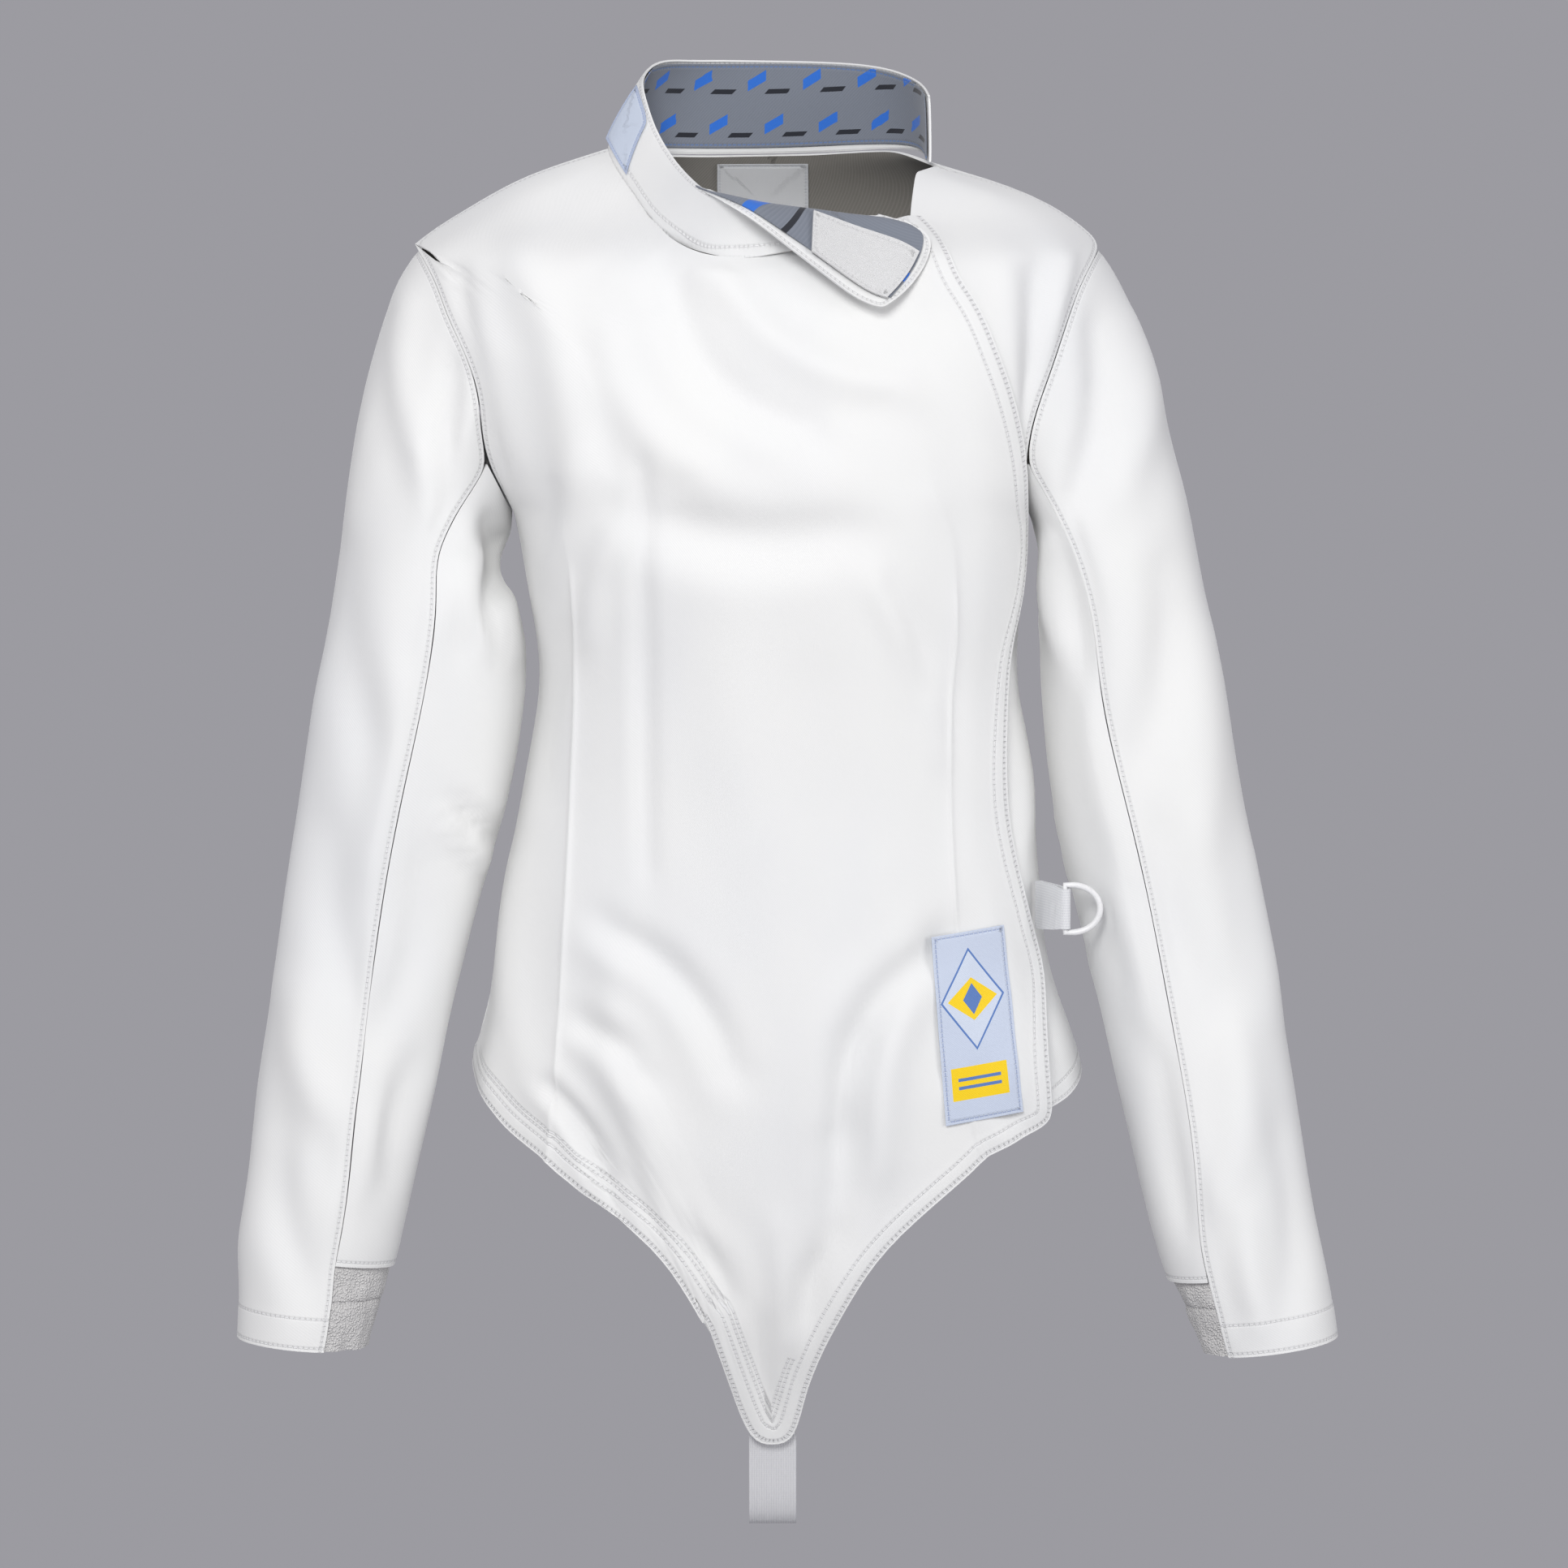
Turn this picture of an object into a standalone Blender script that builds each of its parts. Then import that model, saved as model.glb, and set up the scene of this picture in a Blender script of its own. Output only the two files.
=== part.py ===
# Fencing jacket, filled out as worn but empty: front with two darts and a flap over the side
# closing, back, two-piece sleeves with towelling cuff inserts, collar with a turned-over end,
# crotch elastic, labels, badge, and a webbing loop with a D-ring.
# Tables are in millimetres; everything built is in metres. +Z up, -Y is the front, and the
# origin is the middle of the neck at shoulder level, where the wearer holds the jacket up.

import math

import bmesh
import bpy
from mathutils import Vector
from mathutils.bvhtree import BVHTree

for old in list(bpy.data.objects):
    bpy.data.objects.remove(old, do_unlink=True)

MM = 0.001
CLOTH = 2.0             # wall of the jacket cloth
SEAM = 0.6              # clear space between two pieces at a seam, measured round the body
FLAP_LIFT = 3.5         # how far the flap stands off the piece below it
FLAP_CLEAR = 9.0        # how far inside that piece's edge it is already raised
FLAP_RISE = 9.0         # width in which it climbs
COLLAR_WALL = 1.5
LINING_WALL = 1.0
LINING_INSET = 0.07     # part of the collar height left white at its edges
LINING_ENDS = 0.012     # part of its length left white at its ends
LINING_CLEAR = 0.8
COLLAR_RISE = 1.4       # the collar starts this far above the neck seam
PAD_WALL = 1.4
PAD_CLEAR = 0.7
SIDE_LABEL_CLEAR = 0.7
HEM_STEP = 0.5          # how much thicker the turned hem and flap edge are
DART_RIDGE = 1.3        # height of the stitched ridge along a dart
DART_NEAR = 0.01        # half width of that ridge, as a part of the front's width
DART_NEAR_TURN = 1.6    # and in degrees, below the middle
DART_FADE = 14.0        # height in which a dart's ridge starts
FOLD_REACH = 3.0        # a fold has died out this many half widths from its line
SIDE_FADE = (80.0, 100.0)       # degrees between which the front's folds die out
WIDTH_ROWS = 8          # rows whose columns follow the picture's width, before following the turn
TURN_ROWS = 8.0         # rows in which the columns go over to the turn
COLLAR_ARCH = 0.75      # how far the middle of the collar's curve reaches towards its roll point
BADGE_ROWS = 10
BADGE_COLUMNS = 5
PIERCE_FROM = -400.0    # the badge is dropped on the front from this far ahead
STRAP_WIDTH = 29.0
STRAP_WALL = 1.6
BADGE_WALL = 1.2
BADGE_RISE = 1.2        # clears the facets of the front below it
LABEL_WALL = 0.6
LABEL_CLEAR = 1.6       # keeps the neck label off the facets of the back
RING_WIRE = 3.8
RING_HIGH = 33.0
RING_DEEP = 25.0
LOOP_WALL = 1.2

# Body of the jacket: half widths to the viewer's left and right, depth in front and behind.
BODY_COLUMNS = ("height", "left", "right", "front", "back", "roundness")
BODY = (
    (8, 95, 91, 8, 66, 2.0),
    (2, 101, 95, 13, 70, 2.0),
    (-5, 127, 97, 20, 76, 2.0),
    (-10, 141, 102, 26, 79, 2.0),
    (-17, 157, 135, 33, 84, 2.0),
    (-31, 181, 169, 46, 91, 2.0),
    (-44, 203, 188, 60, 95, 2.0),
    (-56, 219, 201.5, 80, 98, 2.0),
    (-64, 221, 203.5, 91, 100, 2.03),
    (-78, 222, 205, 98, 102, 2.08),
    (-98, 221, 205, 102, 104, 2.14),
    (-119, 216, 201, 106, 105, 2.2),
    (-151, 204.6, 190, 110, 105, 2.2),
    (-170, 196, 181, 112, 104, 2.2),
    (-189, 185, 173, 113, 103, 2.25),
    (-205, 171, 166, 113, 102, 2.35),
    (-222, 158, 156, 112, 101, 2.5),
    (-243, 154.6, 154.8, 110.5, 99, 2.5),
    (-260, 152, 154.3, 109, 97, 2.5),
    (-280, 149, 153, 106, 94, 2.45),
    (-298, 144.5, 151.5, 103, 91, 2.4),
    (-314, 141.5, 150.5, 100.5, 88, 2.4),
    (-333, 144.5, 151.5, 98, 86, 2.35),
    (-354, 147.5, 155, 96, 84, 2.35),
    (-376, 151.5, 159, 94, 85, 2.3),
    (-403, 157, 161.5, 93, 88, 2.25),
    (-427, 162, 163, 93, 93, 2.3),
    (-447, 166, 165, 93.5, 97, 2.3),
    (-490, 172, 169.5, 94.5, 104, 2.3),
    (-516, 176, 176, 95, 107, 2.3),
    (-538, 181, 184.5, 95, 109, 2.3),
    (-556, 186.5, 190, 95, 110, 2.3),
    (-575, 188, 192, 94, 111, 2.3),
    (-600, 188, 188, 92, 111, 2.3),
    (-640, 180, 180, 89, 110, 2.3),
    (-680, 168, 168, 84, 108, 2.3),
    (-720, 150, 150, 73, 100, 2.3),
    (-760, 132, 132, 56, 90, 2.3),
    (-800, 120, 120, 42, 80, 2.3),
)

# Neck seam from the viewer's left to the right, across the front and round the back: across
# and height.
NECK_FRONT = (
    (-100.9, 2), (-95, -10), (-82, -27), (-67, -48), (-55, -57), (-38, -63),
    (-17, -64), (6, -61.5), (40, -56), (66, -46), (76, -42), (90, -43),
)
NECK_BACK = (
    (-100.9, 2), (-86, -1), (-41, -2), (24, -1), (60, 1), (78, 1),
    (91, -2), (98.5, -8.8),
)

# Shoulder seams and armholes: half widths at each height, front and back.
SHOULDER_HEIGHTS = (-12, -24, -35, -46)
SHOULDER_ANGLE = 88.0
NECK_SIDE = {"left": 2.0, "right": -8.8}
ARMHOLE_COLUMNS = ("height", "left_front", "left_back", "right_front", "right_back")
ARMHOLE = (
    (-56, 218.9, 218.9, 201.4, 201.4),
    (-68, 210.5, 213, 194, 197),
    (-82, 203, 207, 186, 191),
    (-98, 197.5, 201, 180, 186),
    (-115, 189, 195, 174, 181),
    (-133, 181, 189, 168, 175),
    (-151, 176.5, 184, 161, 170),
    (-170, 176, 179, 155.5, 165),
    (-189, 172.5, 174, 153.5, 161),
    (-205, 164.5, 166, 154, 158.5),
    (-216, 160.5, 160.8, 155.3, 156.6),
    (-222, 157.9, 157.9, 155.9, 155.9),
)
JUNCTION_ROW = 8        # armhole row where the seam down the front of the arm starts
SIDE_ANGLE = 97.0       # side seams lie just behind the outline
SIDE_TOP = -222.0
SIDE_MIDDLE = -430.0
SIDE_ROWS = 8
HIP_ROWS = 13
HIP_CORNER = {"left": -562.0, "right": -557.0}

# Free edge of the flap and the hidden front edge of the piece below it.
FLAP_EDGE = (
    (-43, 90), (-48, 95.5), (-58, 102.5), (-78, 111.5), (-94, 122.5), (-118, 132.5),
    (-143, 141.5), (-165, 147), (-182, 149.5), (-200, 150.6), (-232, 151), (-257, 150.8),
    (-280, 147), (-301, 141), (-315, 139.8), (-336, 139.3), (-363, 139), (-397, 140),
    (-424, 144.5), (-452, 151), (-479, 157.5), (-501, 162.5), (-549, 165), (-577, 167.2),
    (-587, 167.4),
)
UNDER_EDGE = (
    (-13, 87), (-44, 83), (-60, 84), (-90, 96), (-123, 114), (-159, 127), (-200, 133), (-257, 133),
    (-282, 130), (-330, 126), (-381, 125), (-425, 131), (-452, 137), (-479, 143), (-501, 148),
    (-549, 151), (-583, 152),
)

# Lower edge of the front, left hip to crotch tip to the flap's lower corner.
FRONT_HEM = (
    (-187.4, -562), (-184.5, -570), (-180.5, -575), (-171.4, -584.4), (-161.6, -595.7),
    (-152.6, -604), (-137.2, -612.3), (-115.5, -622.5), (-96.2, -637.2), (-81, -653.2),
    (-64.8, -671.6), (-56.5, -683.9), (-47, -700.1), (-37.5, -722.8), (-29.2, -742.6),
    (-22.3, -763), (-18.2, -781.8), (-14, -790), (0, -791.5), (14.5, -789), (17.6, -782),
    (16.8, -768), (20.9, -750.8), (31.7, -725.6), (40.1, -709.5), (51.1, -687.9),
    (63, -671.1), (77.8, -651.8), (97.4, -631.2), (118.5, -614.6), (128.1, -609.4),
    (137.9, -604.1), (154.6, -596.4), (160.9, -593.1), (167.4, -587),
)
HEM_TIP_START = 17
HEM_TIP_END = 19
HEM_DART_LEFT = 6
HEM_DART_RIGHT = 30

# Darts: where each ridge lies at a height.
DART_TOP = -240.0
DART_LEFT = (
    (-246, -122), (-288, -119.2), (-336, -119), (-372, -121), (-412, -123), (-456, -125.2),
    (-504, -128.2), (-548, -131.2), (-612, -137.2),
)
DART_RIGHT = (
    (-256, 110.3), (-293, 110.7), (-328, 107.7), (-361, 106.9), (-411, 108.1), (-455, 110.4),
    (-589, 122.2), (-609, 128),
)

# Largest folds of the front: x and z of both ends of a line in the picture plane, then the
# half width of the fold and its height out.
FOLDS = (
    (-199, -58, -176, -120, 9, 3.0),
    (-176, -120, -160, -205, 8, 2.2),
    (-120, -150, -95, -215, 22, 4.0),
    (-60, -235, 40, -240, 20, -2.5),
    (-88, -185, -80, -300, 7, -2.0),
    (-78, -300, -76, -440, 6, -1.5),
    (95, -210, 112, -300, 9, 2.0),
    (80, -245, 98, -300, 8, -2.2),
    (146, -62, 149, -130, 9, 2.6),
    (-118, -545, -88, -630, 9, -4.0),
    (-100, -555, -64, -640, 9, 3.0),
    (-95, -510, -62, -560, 10, -3.0),
    (-80, -460, -20, -555, 11, -2.5),
    (100, -475, 60, -540, 11, -3.0),
    (60, -540, 45, -630, 10, -3.0),
    (82, -500, 70, -600, 10, 2.5),
    (-35, -640, -5, -690, 12, -2.5),
    (30, -660, 8, -700, 10, -2.0),
)

# Sleeves: outline points of each ring, how far forward its middle is, half depths, and where
# the seams down the front and the back of the arm lie, in degrees from the inside of the arm.
SLEEVE_COLUMNS = (
    "outer_x", "outer_z", "inner_x", "inner_z", "forward", "front", "back", "seam_front", "seam_back",
)
SLEEVE_LEFT = (
    (-231, -73, -159.5, -229, 0, 58, 56, 52, -52),
    (-240.5, -100, -162.5, -236, 1, 58, 56, 56, -54),
    (-248.5, -126, -165, -243, 2, 58, 56, 60, -56),
    (-254.5, -152, -166, -250, 3, 58, 56, 64, -58),
    (-259.5, -180, -165.5, -257, 4, 58, 56, 68, -60),
    (-263.5, -208, -162, -267, 5, 57, 55, 74, -62),
    (-267, -240, -155.5, -280, 6, 56, 54, 80, -64),
    (-271, -272, -150, -298, 7, 55, 53, 84, -66),
    (-277, -305, -149, -327, 8, 54, 52, 86, -68),
    (-284, -342, -153.5, -357, 9, 53, 51, 87, -70),
    (-290, -380, -159.5, -391, 10, 52, 50, 89, -70),
    (-295, -418, -169.5, -426, 11, 51, 49, 89, -70),
    (-299, -452, -179.5, -459, 13, 49, 47, 88, -70),
    (-304, -486, -188.2, -493, 16, 48, 46, 86, -70),
    (-310, -520, -196.5, -526, 20, 47, 45, 83, -70),
    (-315.5, -553, -203.3, -559, 24, 46, 44, 80, -70),
    (-319, -585, -210.5, -592, 28, 45, 43, 79, -70),
    (-321, -617, -218, -625, 32, 44, 42, 76, -70),
    (-325, -645, -224.5, -655, 35, 43, 41, 74, -70),
    (-329.5, -666, -231.5, -681, 37, 42, 40, 73, -70),
    (-328.5, -686, -236, -697, 39, 41, 39, 71, -70),
    (-328.2, -704, -240.5, -713, 40, 41, 39, 70, -70),
    (-329.5, -724, -245, -731, 40, 41, 39, 70, -70),
)
SLEEVE_RIGHT = (
    (213, -73, 159.5, -228, 0, 58, 56, 52, -52),
    (223.5, -97, 161.5, -234, 1, 58, 56, 54, -54),
    (232.5, -122, 162.5, -240, 2, 58, 56, 56, -56),
    (240, -149, 163, -247, 3, 58, 56, 58, -58),
    (246.5, -177, 163, -254, 4, 58, 56, 60, -60),
    (254, -204, 162.5, -263, 5, 57, 55, 63, -62),
    (260, -234, 162, -276, 6, 56, 54, 66, -64),
    (266, -268, 161.5, -294, 7, 55, 53, 68, -66),
    (272, -303, 162, -320, 8, 54, 52, 69, -68),
    (279, -338, 163.5, -350, 9, 53, 51, 71, -70),
    (286, -374, 166, -383, 10, 52, 50, 75, -70),
    (293, -411, 171.5, -417, 11, 51, 49, 78, -70),
    (300, -447, 180.5, -452, 13, 49, 47, 78, -70),
    (307, -484, 190, -490, 16, 48, 46, 77, -70),
    (313.5, -520, 198.5, -527, 20, 47, 45, 76, -70),
    (320, -558, 207.5, -565, 24, 46, 44, 75, -70),
    (325.5, -595, 217, -602, 28, 45, 43, 73, -70),
    (331, -630, 225, -638, 32, 44, 42, 68, -70),
    (335, -654, 231, -665, 35, 43, 41, 63, -70),
    (339.5, -676, 240.5, -690, 37, 42, 40, 60, -70),
    (343, -694, 248, -705, 39, 41, 39, 57, -70),
    (345.8, -709, 254.5, -719, 40, 41, 39, 54, -70),
    (348, -724, 261, -735, 40, 41, 39, 52, -70),
)
ARMHOLE_SEAM = 0.4      # clear space at the armhole seam
SHAPING_ROWS = 7        # rings over which the armhole becomes the arm
UNDER_SLEEVE_END = 19   # ring where the under-sleeve is hemmed

# Collar: neck seam, highest point or middle of the strip, and its free edge, one row a station.
COLLAR_COLUMNS = (
    "seam_x", "seam_y", "seam_z", "roll_x", "roll_y", "roll_z", "edge_x", "edge_y", "edge_z",
)
COLLAR = (
    (96.5, -5, -9.5, 97, -3, 12, 96, -3, 34),
    (95.5, 13, -3, 95, 16, 18, 92.5, 16, 41),
    (86, 36, 1.5, 86, 40, 24, 83.5, 40, 47),
    (68, 54, 2, 68, 60, 27, 66, 60, 53),
    (40, 66, 1, 40, 73, 28, 39, 72, 56),
    (2, 71, -0.5, 2, 78, 28, 2, 77, 57),
    (-38, 67, -1.2, -38, 74, 28, -36, 70, 57),
    (-68, 55, -0.8, -66, 59, 28, -58, 54, 57),
    (-88, 37, 0, -83, 39, 28, -71, 34, 55.5),
    (-98, 18, 1.5, -91.5, 18, 25, -78, 16, 49),
    (-101.2, -1.5, 1.8, -93, -3, 23, -79.5, -2, 42),
    (-96, -19, -9.2, -88, -18, 12, -76, -17, 29),
    (-82.3, -38, -26.5, -80, -36, -6, -71, -31, 14),
    (-67.3, -60, -47.8, -68, -57, -27, -61, -49, -3),
    (-55, -71, -57, -54, -73, -34, -48, -72, -18),
    (-38, -84, -62.7, -34, -87, -36, -33, -94, -29),
    (-17, -91.5, -63.7, -15, -93, -35, -16, -108, -39),
    (6, -93, -61, 0, -89, -34, 3, -113, -53),
    (26, -90, -58, 25, -86, -37.5, 22.5, -115, -68),
    (44, -86, -54, 50, -82, -43.5, 38, -114, -80),
    (60, -80, -50, 76, -80, -49, 56, -113, -92),
    (75, -80, -52, 95, -84, -60, 66, -112, -94),
)
COLLAR_STEPS = (0.0, LINING_INSET, 0.2, 0.36, 0.5, 0.64, 0.8, 1.0 - LINING_INSET, 1.0)
COLLAR_STATIONS = 30
PAD_FROM = (0.855, 0.985)       # the loop pad along the collar, as parts of its length
PAD_ACROSS = (0.60, 0.95)       # and across it

BADGE_CORNERS = ((95.6, -474), (139.1, -468.2), (151.5, -581.6), (104.7, -588.6))
NECK_LABEL = (-35, 22.6, -5, -55)
SIDE_LABEL = (0.478, 0.555, 0.2, 0.85)
STRAP_PATH = (
    (-41.5, -777), (-39.5, -790), (-35, -806), (-30, -824), (-24.5, -838), (-17, -846),
    (-8, -847.5), (1, -841), (10, -826), (38, -765), (66, -700), (88, -640), (98, -606),
    (104.6, -586), (106.6, -572), (106.4, -560),
)
RING_BAR = (178.0, -59.0, -459.0)   # middle of the ring's straight bar
LOOP_TURN = -58.0       # the loop stands off the side at this angle, seen from above
LOOP_LONG = 30.0        # from the bar to the stitched root
LOOP_HIGH = 29.5
LOOP_END_HIGH = 24.4


def smooth(t):
    t = max(0.0, min(1.0, t))
    return t * t * (3.0 - 2.0 * t)


def mix(a, b, t):
    return a + (b - a) * t


def curve_through(xs, ys, x):
    """Smooth value at x through the points, with no overshoot; xs may rise or fall."""
    if xs[0] > xs[-1]:
        xs = [-v for v in xs]
        x = -x
    if x <= xs[0]:
        return ys[0]
    if x >= xs[-1]:
        return ys[-1]
    i = 0
    while xs[i + 1] < x:
        i += 1
    slopes = [(ys[k + 1] - ys[k]) / (xs[k + 1] - xs[k]) for k in range(len(xs) - 1)]

    def tangent(k):
        if k == 0:
            return slopes[0]
        if k == len(xs) - 1:
            return slopes[-1]
        a, b = slopes[k - 1], slopes[k]
        return 0.0 if a * b <= 0.0 else 2.0 * a * b / (a + b)

    h = xs[i + 1] - xs[i]
    t = (x - xs[i]) / h
    return (
        ys[i] * (2 * t**3 - 3 * t**2 + 1)
        + tangent(i) * h * (t**3 - 2 * t**2 + t)
        + ys[i + 1] * (3 * t**2 - 2 * t**3)
        + tangent(i + 1) * h * (t**3 - t**2)
    )


def column(table, names, name):
    at = names.index(name)
    return [row[at] for row in table]


BODY_HEIGHTS = column(BODY, BODY_COLUMNS, "height")
BODY_VALUES = {name: column(BODY, BODY_COLUMNS, name) for name in BODY_COLUMNS}


def body_size(name, z):
    return curve_through(BODY_HEIGHTS, BODY_VALUES[name], z)


def edge_at(table, z):
    return curve_through([r[0] for r in table], [r[1] for r in table], z)


def along(points, count):
    """Points spaced evenly along a polyline."""
    lengths = [0.0]
    for p, q in zip(points, points[1:]):
        lengths.append(lengths[-1] + math.dist(p, q))
    out = []
    for k in range(count + 1):
        goal = lengths[-1] * k / count
        i = 0
        while i < len(points) - 2 and lengths[i + 1] < goal:
            i += 1
        span = lengths[i + 1] - lengths[i]
        t = 0.0 if span == 0 else (goal - lengths[i]) / span
        out.append(tuple(mix(a, b, t) for a, b in zip(points[i], points[i + 1])))
    return out


# Points of the body are named by an angle in degrees (0 front, 90 viewer's right, 180 back)
# and a height.

def body_point(angle, z):
    turn = math.radians(angle)
    s, c = math.sin(turn), math.cos(turn)
    power = 2.0 / body_size("roundness", z)
    wide = body_size("right" if s > 0 else "left", z)
    deep = body_size("front" if c > 0 else "back", z)
    x = math.copysign(wide * abs(s) ** power, s)
    y = -math.copysign(deep * abs(c) ** power, c)
    return Vector((x, y, z))


def angle_of(x, z, behind=False):
    wide = body_size("right" if x > 0 else "left", z)
    part = min(1.0, abs(x) / wide) ** (body_size("roundness", z) / 2.0)
    a = math.degrees(math.asin(part))
    if behind:
        a = 180.0 - a
    return math.copysign(a, x)


def body_normal(angle, z):
    da = 0.6
    dz = 0.8
    across = body_point(angle + da, z) - body_point(angle - da, z)
    up = body_point(angle, z + dz) - body_point(angle, z - dz)
    n = across.cross(up)
    return n.normalized()


def distance_to_segment(x, z, x1, z1, x2, z2):
    dx, dz = x2 - x1, z2 - z1
    t = ((x - x1) * dx + (z - z1) * dz) / (dx * dx + dz * dz)
    t = max(0.0, min(1.0, t))
    return math.hypot(x - x1 - t * dx, z - z1 - t * dz)


def folds_at(x, z):
    out = 0.0
    for x1, z1, x2, z2, half, high in FOLDS:
        d = distance_to_segment(x, z, x1, z1, x2, z2) / half
        if d < FOLD_REACH:
            out += high * math.exp(-d * d)
    return out


def flap_lift(x, z):
    """How far the front is raised over the piece below it."""
    inside = edge_at(UNDER_EDGE, z) - FLAP_CLEAR - x
    return FLAP_LIFT * smooth(1.0 - inside / FLAP_RISE)


def front_part(angle):
    """1 on the front, falling to 0 at the side."""
    start, end = SIDE_FADE
    return smooth((end - abs(angle)) / (end - start))


def front_point(angle, z, out=0.0, fold_part=1.0):
    p = body_point(angle, z)
    n = body_normal(angle, z)
    fold = folds_at(p.x, p.z) * front_part(angle) * fold_part
    return p + n * (flap_lift(p.x, z) + fold + out)


def plain_point(angle, z, out=0.0):
    p = body_point(angle, z)
    return p + body_normal(angle, z) * out


def new_material(name, colour, rough):
    mat = bpy.data.materials.new(name)
    mat.use_nodes = True
    shader = mat.node_tree.nodes["Principled BSDF"]
    shader.inputs["Base Color"].default_value = (*colour, 1.0)
    shader.inputs["Roughness"].default_value = rough
    return mat


jacket = bpy.data.collections.new("fencing_jacket")
bpy.context.scene.collection.children.link(jacket)


def make_object(name, points, faces, mat):
    mesh = bpy.data.meshes.new(name)
    mesh.from_pydata([p * MM for p in points], [], faces)
    solid = bmesh.new()
    solid.from_mesh(mesh)
    bmesh.ops.recalc_face_normals(solid, faces=solid.faces)
    solid.to_mesh(mesh)
    solid.free()
    mesh.materials.append(mat)
    obj = bpy.data.objects.new(name, mesh)
    jacket.objects.link(obj)
    return obj


def make_wall(name, outer, inner, mat):
    """A closed solid between two equal grids of points, with both split along the same diagonals."""
    rows, cols = len(outer), len(outer[0])
    count = rows * cols
    points = [p for row in outer for p in row] + [p for row in inner for p in row]
    faces = []
    low, end = rows - 1, cols - 1

    def at(r, c, side):
        return side * count + r * cols + c

    for r in range(low):
        for c in range(end):
            for side in (0, 1):
                here, across = at(r, c, side), at(r + 1, c + 1, side)
                faces.append((here, at(r + 1, c, side), across))
                faces.append((here, across, at(r, c + 1, side)))
    for c in range(end):
        faces.append((at(0, c, 0), at(0, c + 1, 0), at(0, c + 1, 1), at(0, c, 1)))
        faces.append((at(low, c, 0), at(low, c, 1), at(low, c + 1, 1), at(low, c + 1, 0)))
    for r in range(low):
        faces.append((at(r, 0, 0), at(r, 0, 1), at(r + 1, 0, 1), at(r + 1, 0, 0)))
        faces.append((at(r, end, 0), at(r + 1, end, 0), at(r + 1, end, 1), at(r, end, 1)))
    return make_object(name, points, faces, mat)


# Rows of the side edges, shared by the pieces that meet there.

def beside_seam(sign, turn, z, behind):
    """The angle half a seam's space in front of or behind a seam."""
    a = sign * turn
    per_degree = (body_point(a + 0.5, z) - body_point(a - 0.5, z)).length
    slip = 0.5 * SEAM / per_degree
    return sign * (turn + (slip if behind else -slip))


def side_rows(hand, behind, hip_rows):
    """Angle and height down one side: shoulder seam, armhole, side seam to the hip corner."""
    sign = -1 if hand == "left" else 1
    rows = []
    for z in (NECK_SIDE[hand],) + SHOULDER_HEIGHTS + (ARMHOLE[0][0],):
        rows.append((beside_seam(sign, SHOULDER_ANGLE, z, behind), z))
    name = hand + ("_back" if behind else "_front")
    spans = column(ARMHOLE, ARMHOLE_COLUMNS, name)
    for z, x in list(zip(column(ARMHOLE, ARMHOLE_COLUMNS, "height"), spans))[1:-1]:
        rows.append((angle_of(sign * x, z, behind), z))
    rows.append((beside_seam(sign, 90.0, SIDE_TOP, behind), SIDE_TOP))
    for k in range(1, SIDE_ROWS + 1):
        z = mix(SIDE_TOP, SIDE_MIDDLE, k / SIDE_ROWS)
        turn = mix(90.0, SIDE_ANGLE, smooth(k / 3.0))
        rows.append((beside_seam(sign, turn, z, behind), z))
    for k in range(1, hip_rows + 1):
        z = mix(SIDE_MIDDLE, HIP_CORNER[hand], k / hip_rows)
        rows.append((beside_seam(sign, SIDE_ANGLE, z, behind), z))
    return rows


UPPER_ROWS = 1 + len(SHOULDER_HEIGHTS) + len(ARMHOLE) + SIDE_ROWS     # down to the middle


def turn_share(row):
    """0 where columns follow the picture's width, 1 where they follow the turn."""
    return smooth((row - WIDTH_ROWS) / TURN_ROWS)


def turn_between(row, x_left, x_right, a_left, a_right, z, part, behind):
    """Angle of a column: by the picture's width high up, by the angle round the body lower down."""
    by_width = angle_of(mix(x_left, x_right, part), z, behind)
    if behind:
        by_width %= 360.0
    return mix(by_width, mix(a_left, a_right, part), turn_share(row))


white = new_material("white_cloth", (0.80, 0.80, 0.79), 0.7)
side_white = new_material("white_sleeve_cloth", (0.78, 0.78, 0.78), 0.7)
grey_lining = new_material("grey_lining", (0.20, 0.22, 0.26), 0.8)
pad_white = new_material("white_loop_pad", (0.75, 0.75, 0.73), 0.9)
label_white = new_material("label_white", (0.78, 0.79, 0.82), 0.5)
label_blue = new_material("label_pale_blue", (0.55, 0.60, 0.70), 0.5)
badge_blue = new_material("badge_pale_blue", (0.58, 0.63, 0.74), 0.5)
towelling = new_material("towelling", (0.76, 0.75, 0.73), 0.95)
elastic = new_material("elastic", (0.78, 0.78, 0.79), 0.7)
webbing = new_material("webbing", (0.74, 0.75, 0.77), 0.7)
ring_white = new_material("ring_enamel", (0.80, 0.80, 0.80), 0.35)


# Front: columns run from the neck to the hem, with one along each dart.
LEFT_COLUMN = 5
RIGHT_COLUMN = 19
LAST = 25
TIP_COLUMNS = 2
HEM_NEAR = 0.16         # the columns beside a dart, as a part of the next column's step
TOP_NEAR = (0.2, 0.8)   # where the dart columns meet the neck seam
TOP_ROWS = 13.0         # rows in which the neck seam's shape dies out
DART_ROWS = 16.0        # rows in which the columns gather to the darts
DART_LEVEL = -250.0     # above this height the dart columns keep their place
LEVEL_LEFT = -92.0
BADGE_MARGIN = 7.0      # the dart's ridge lies flat this far round the badge


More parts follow.
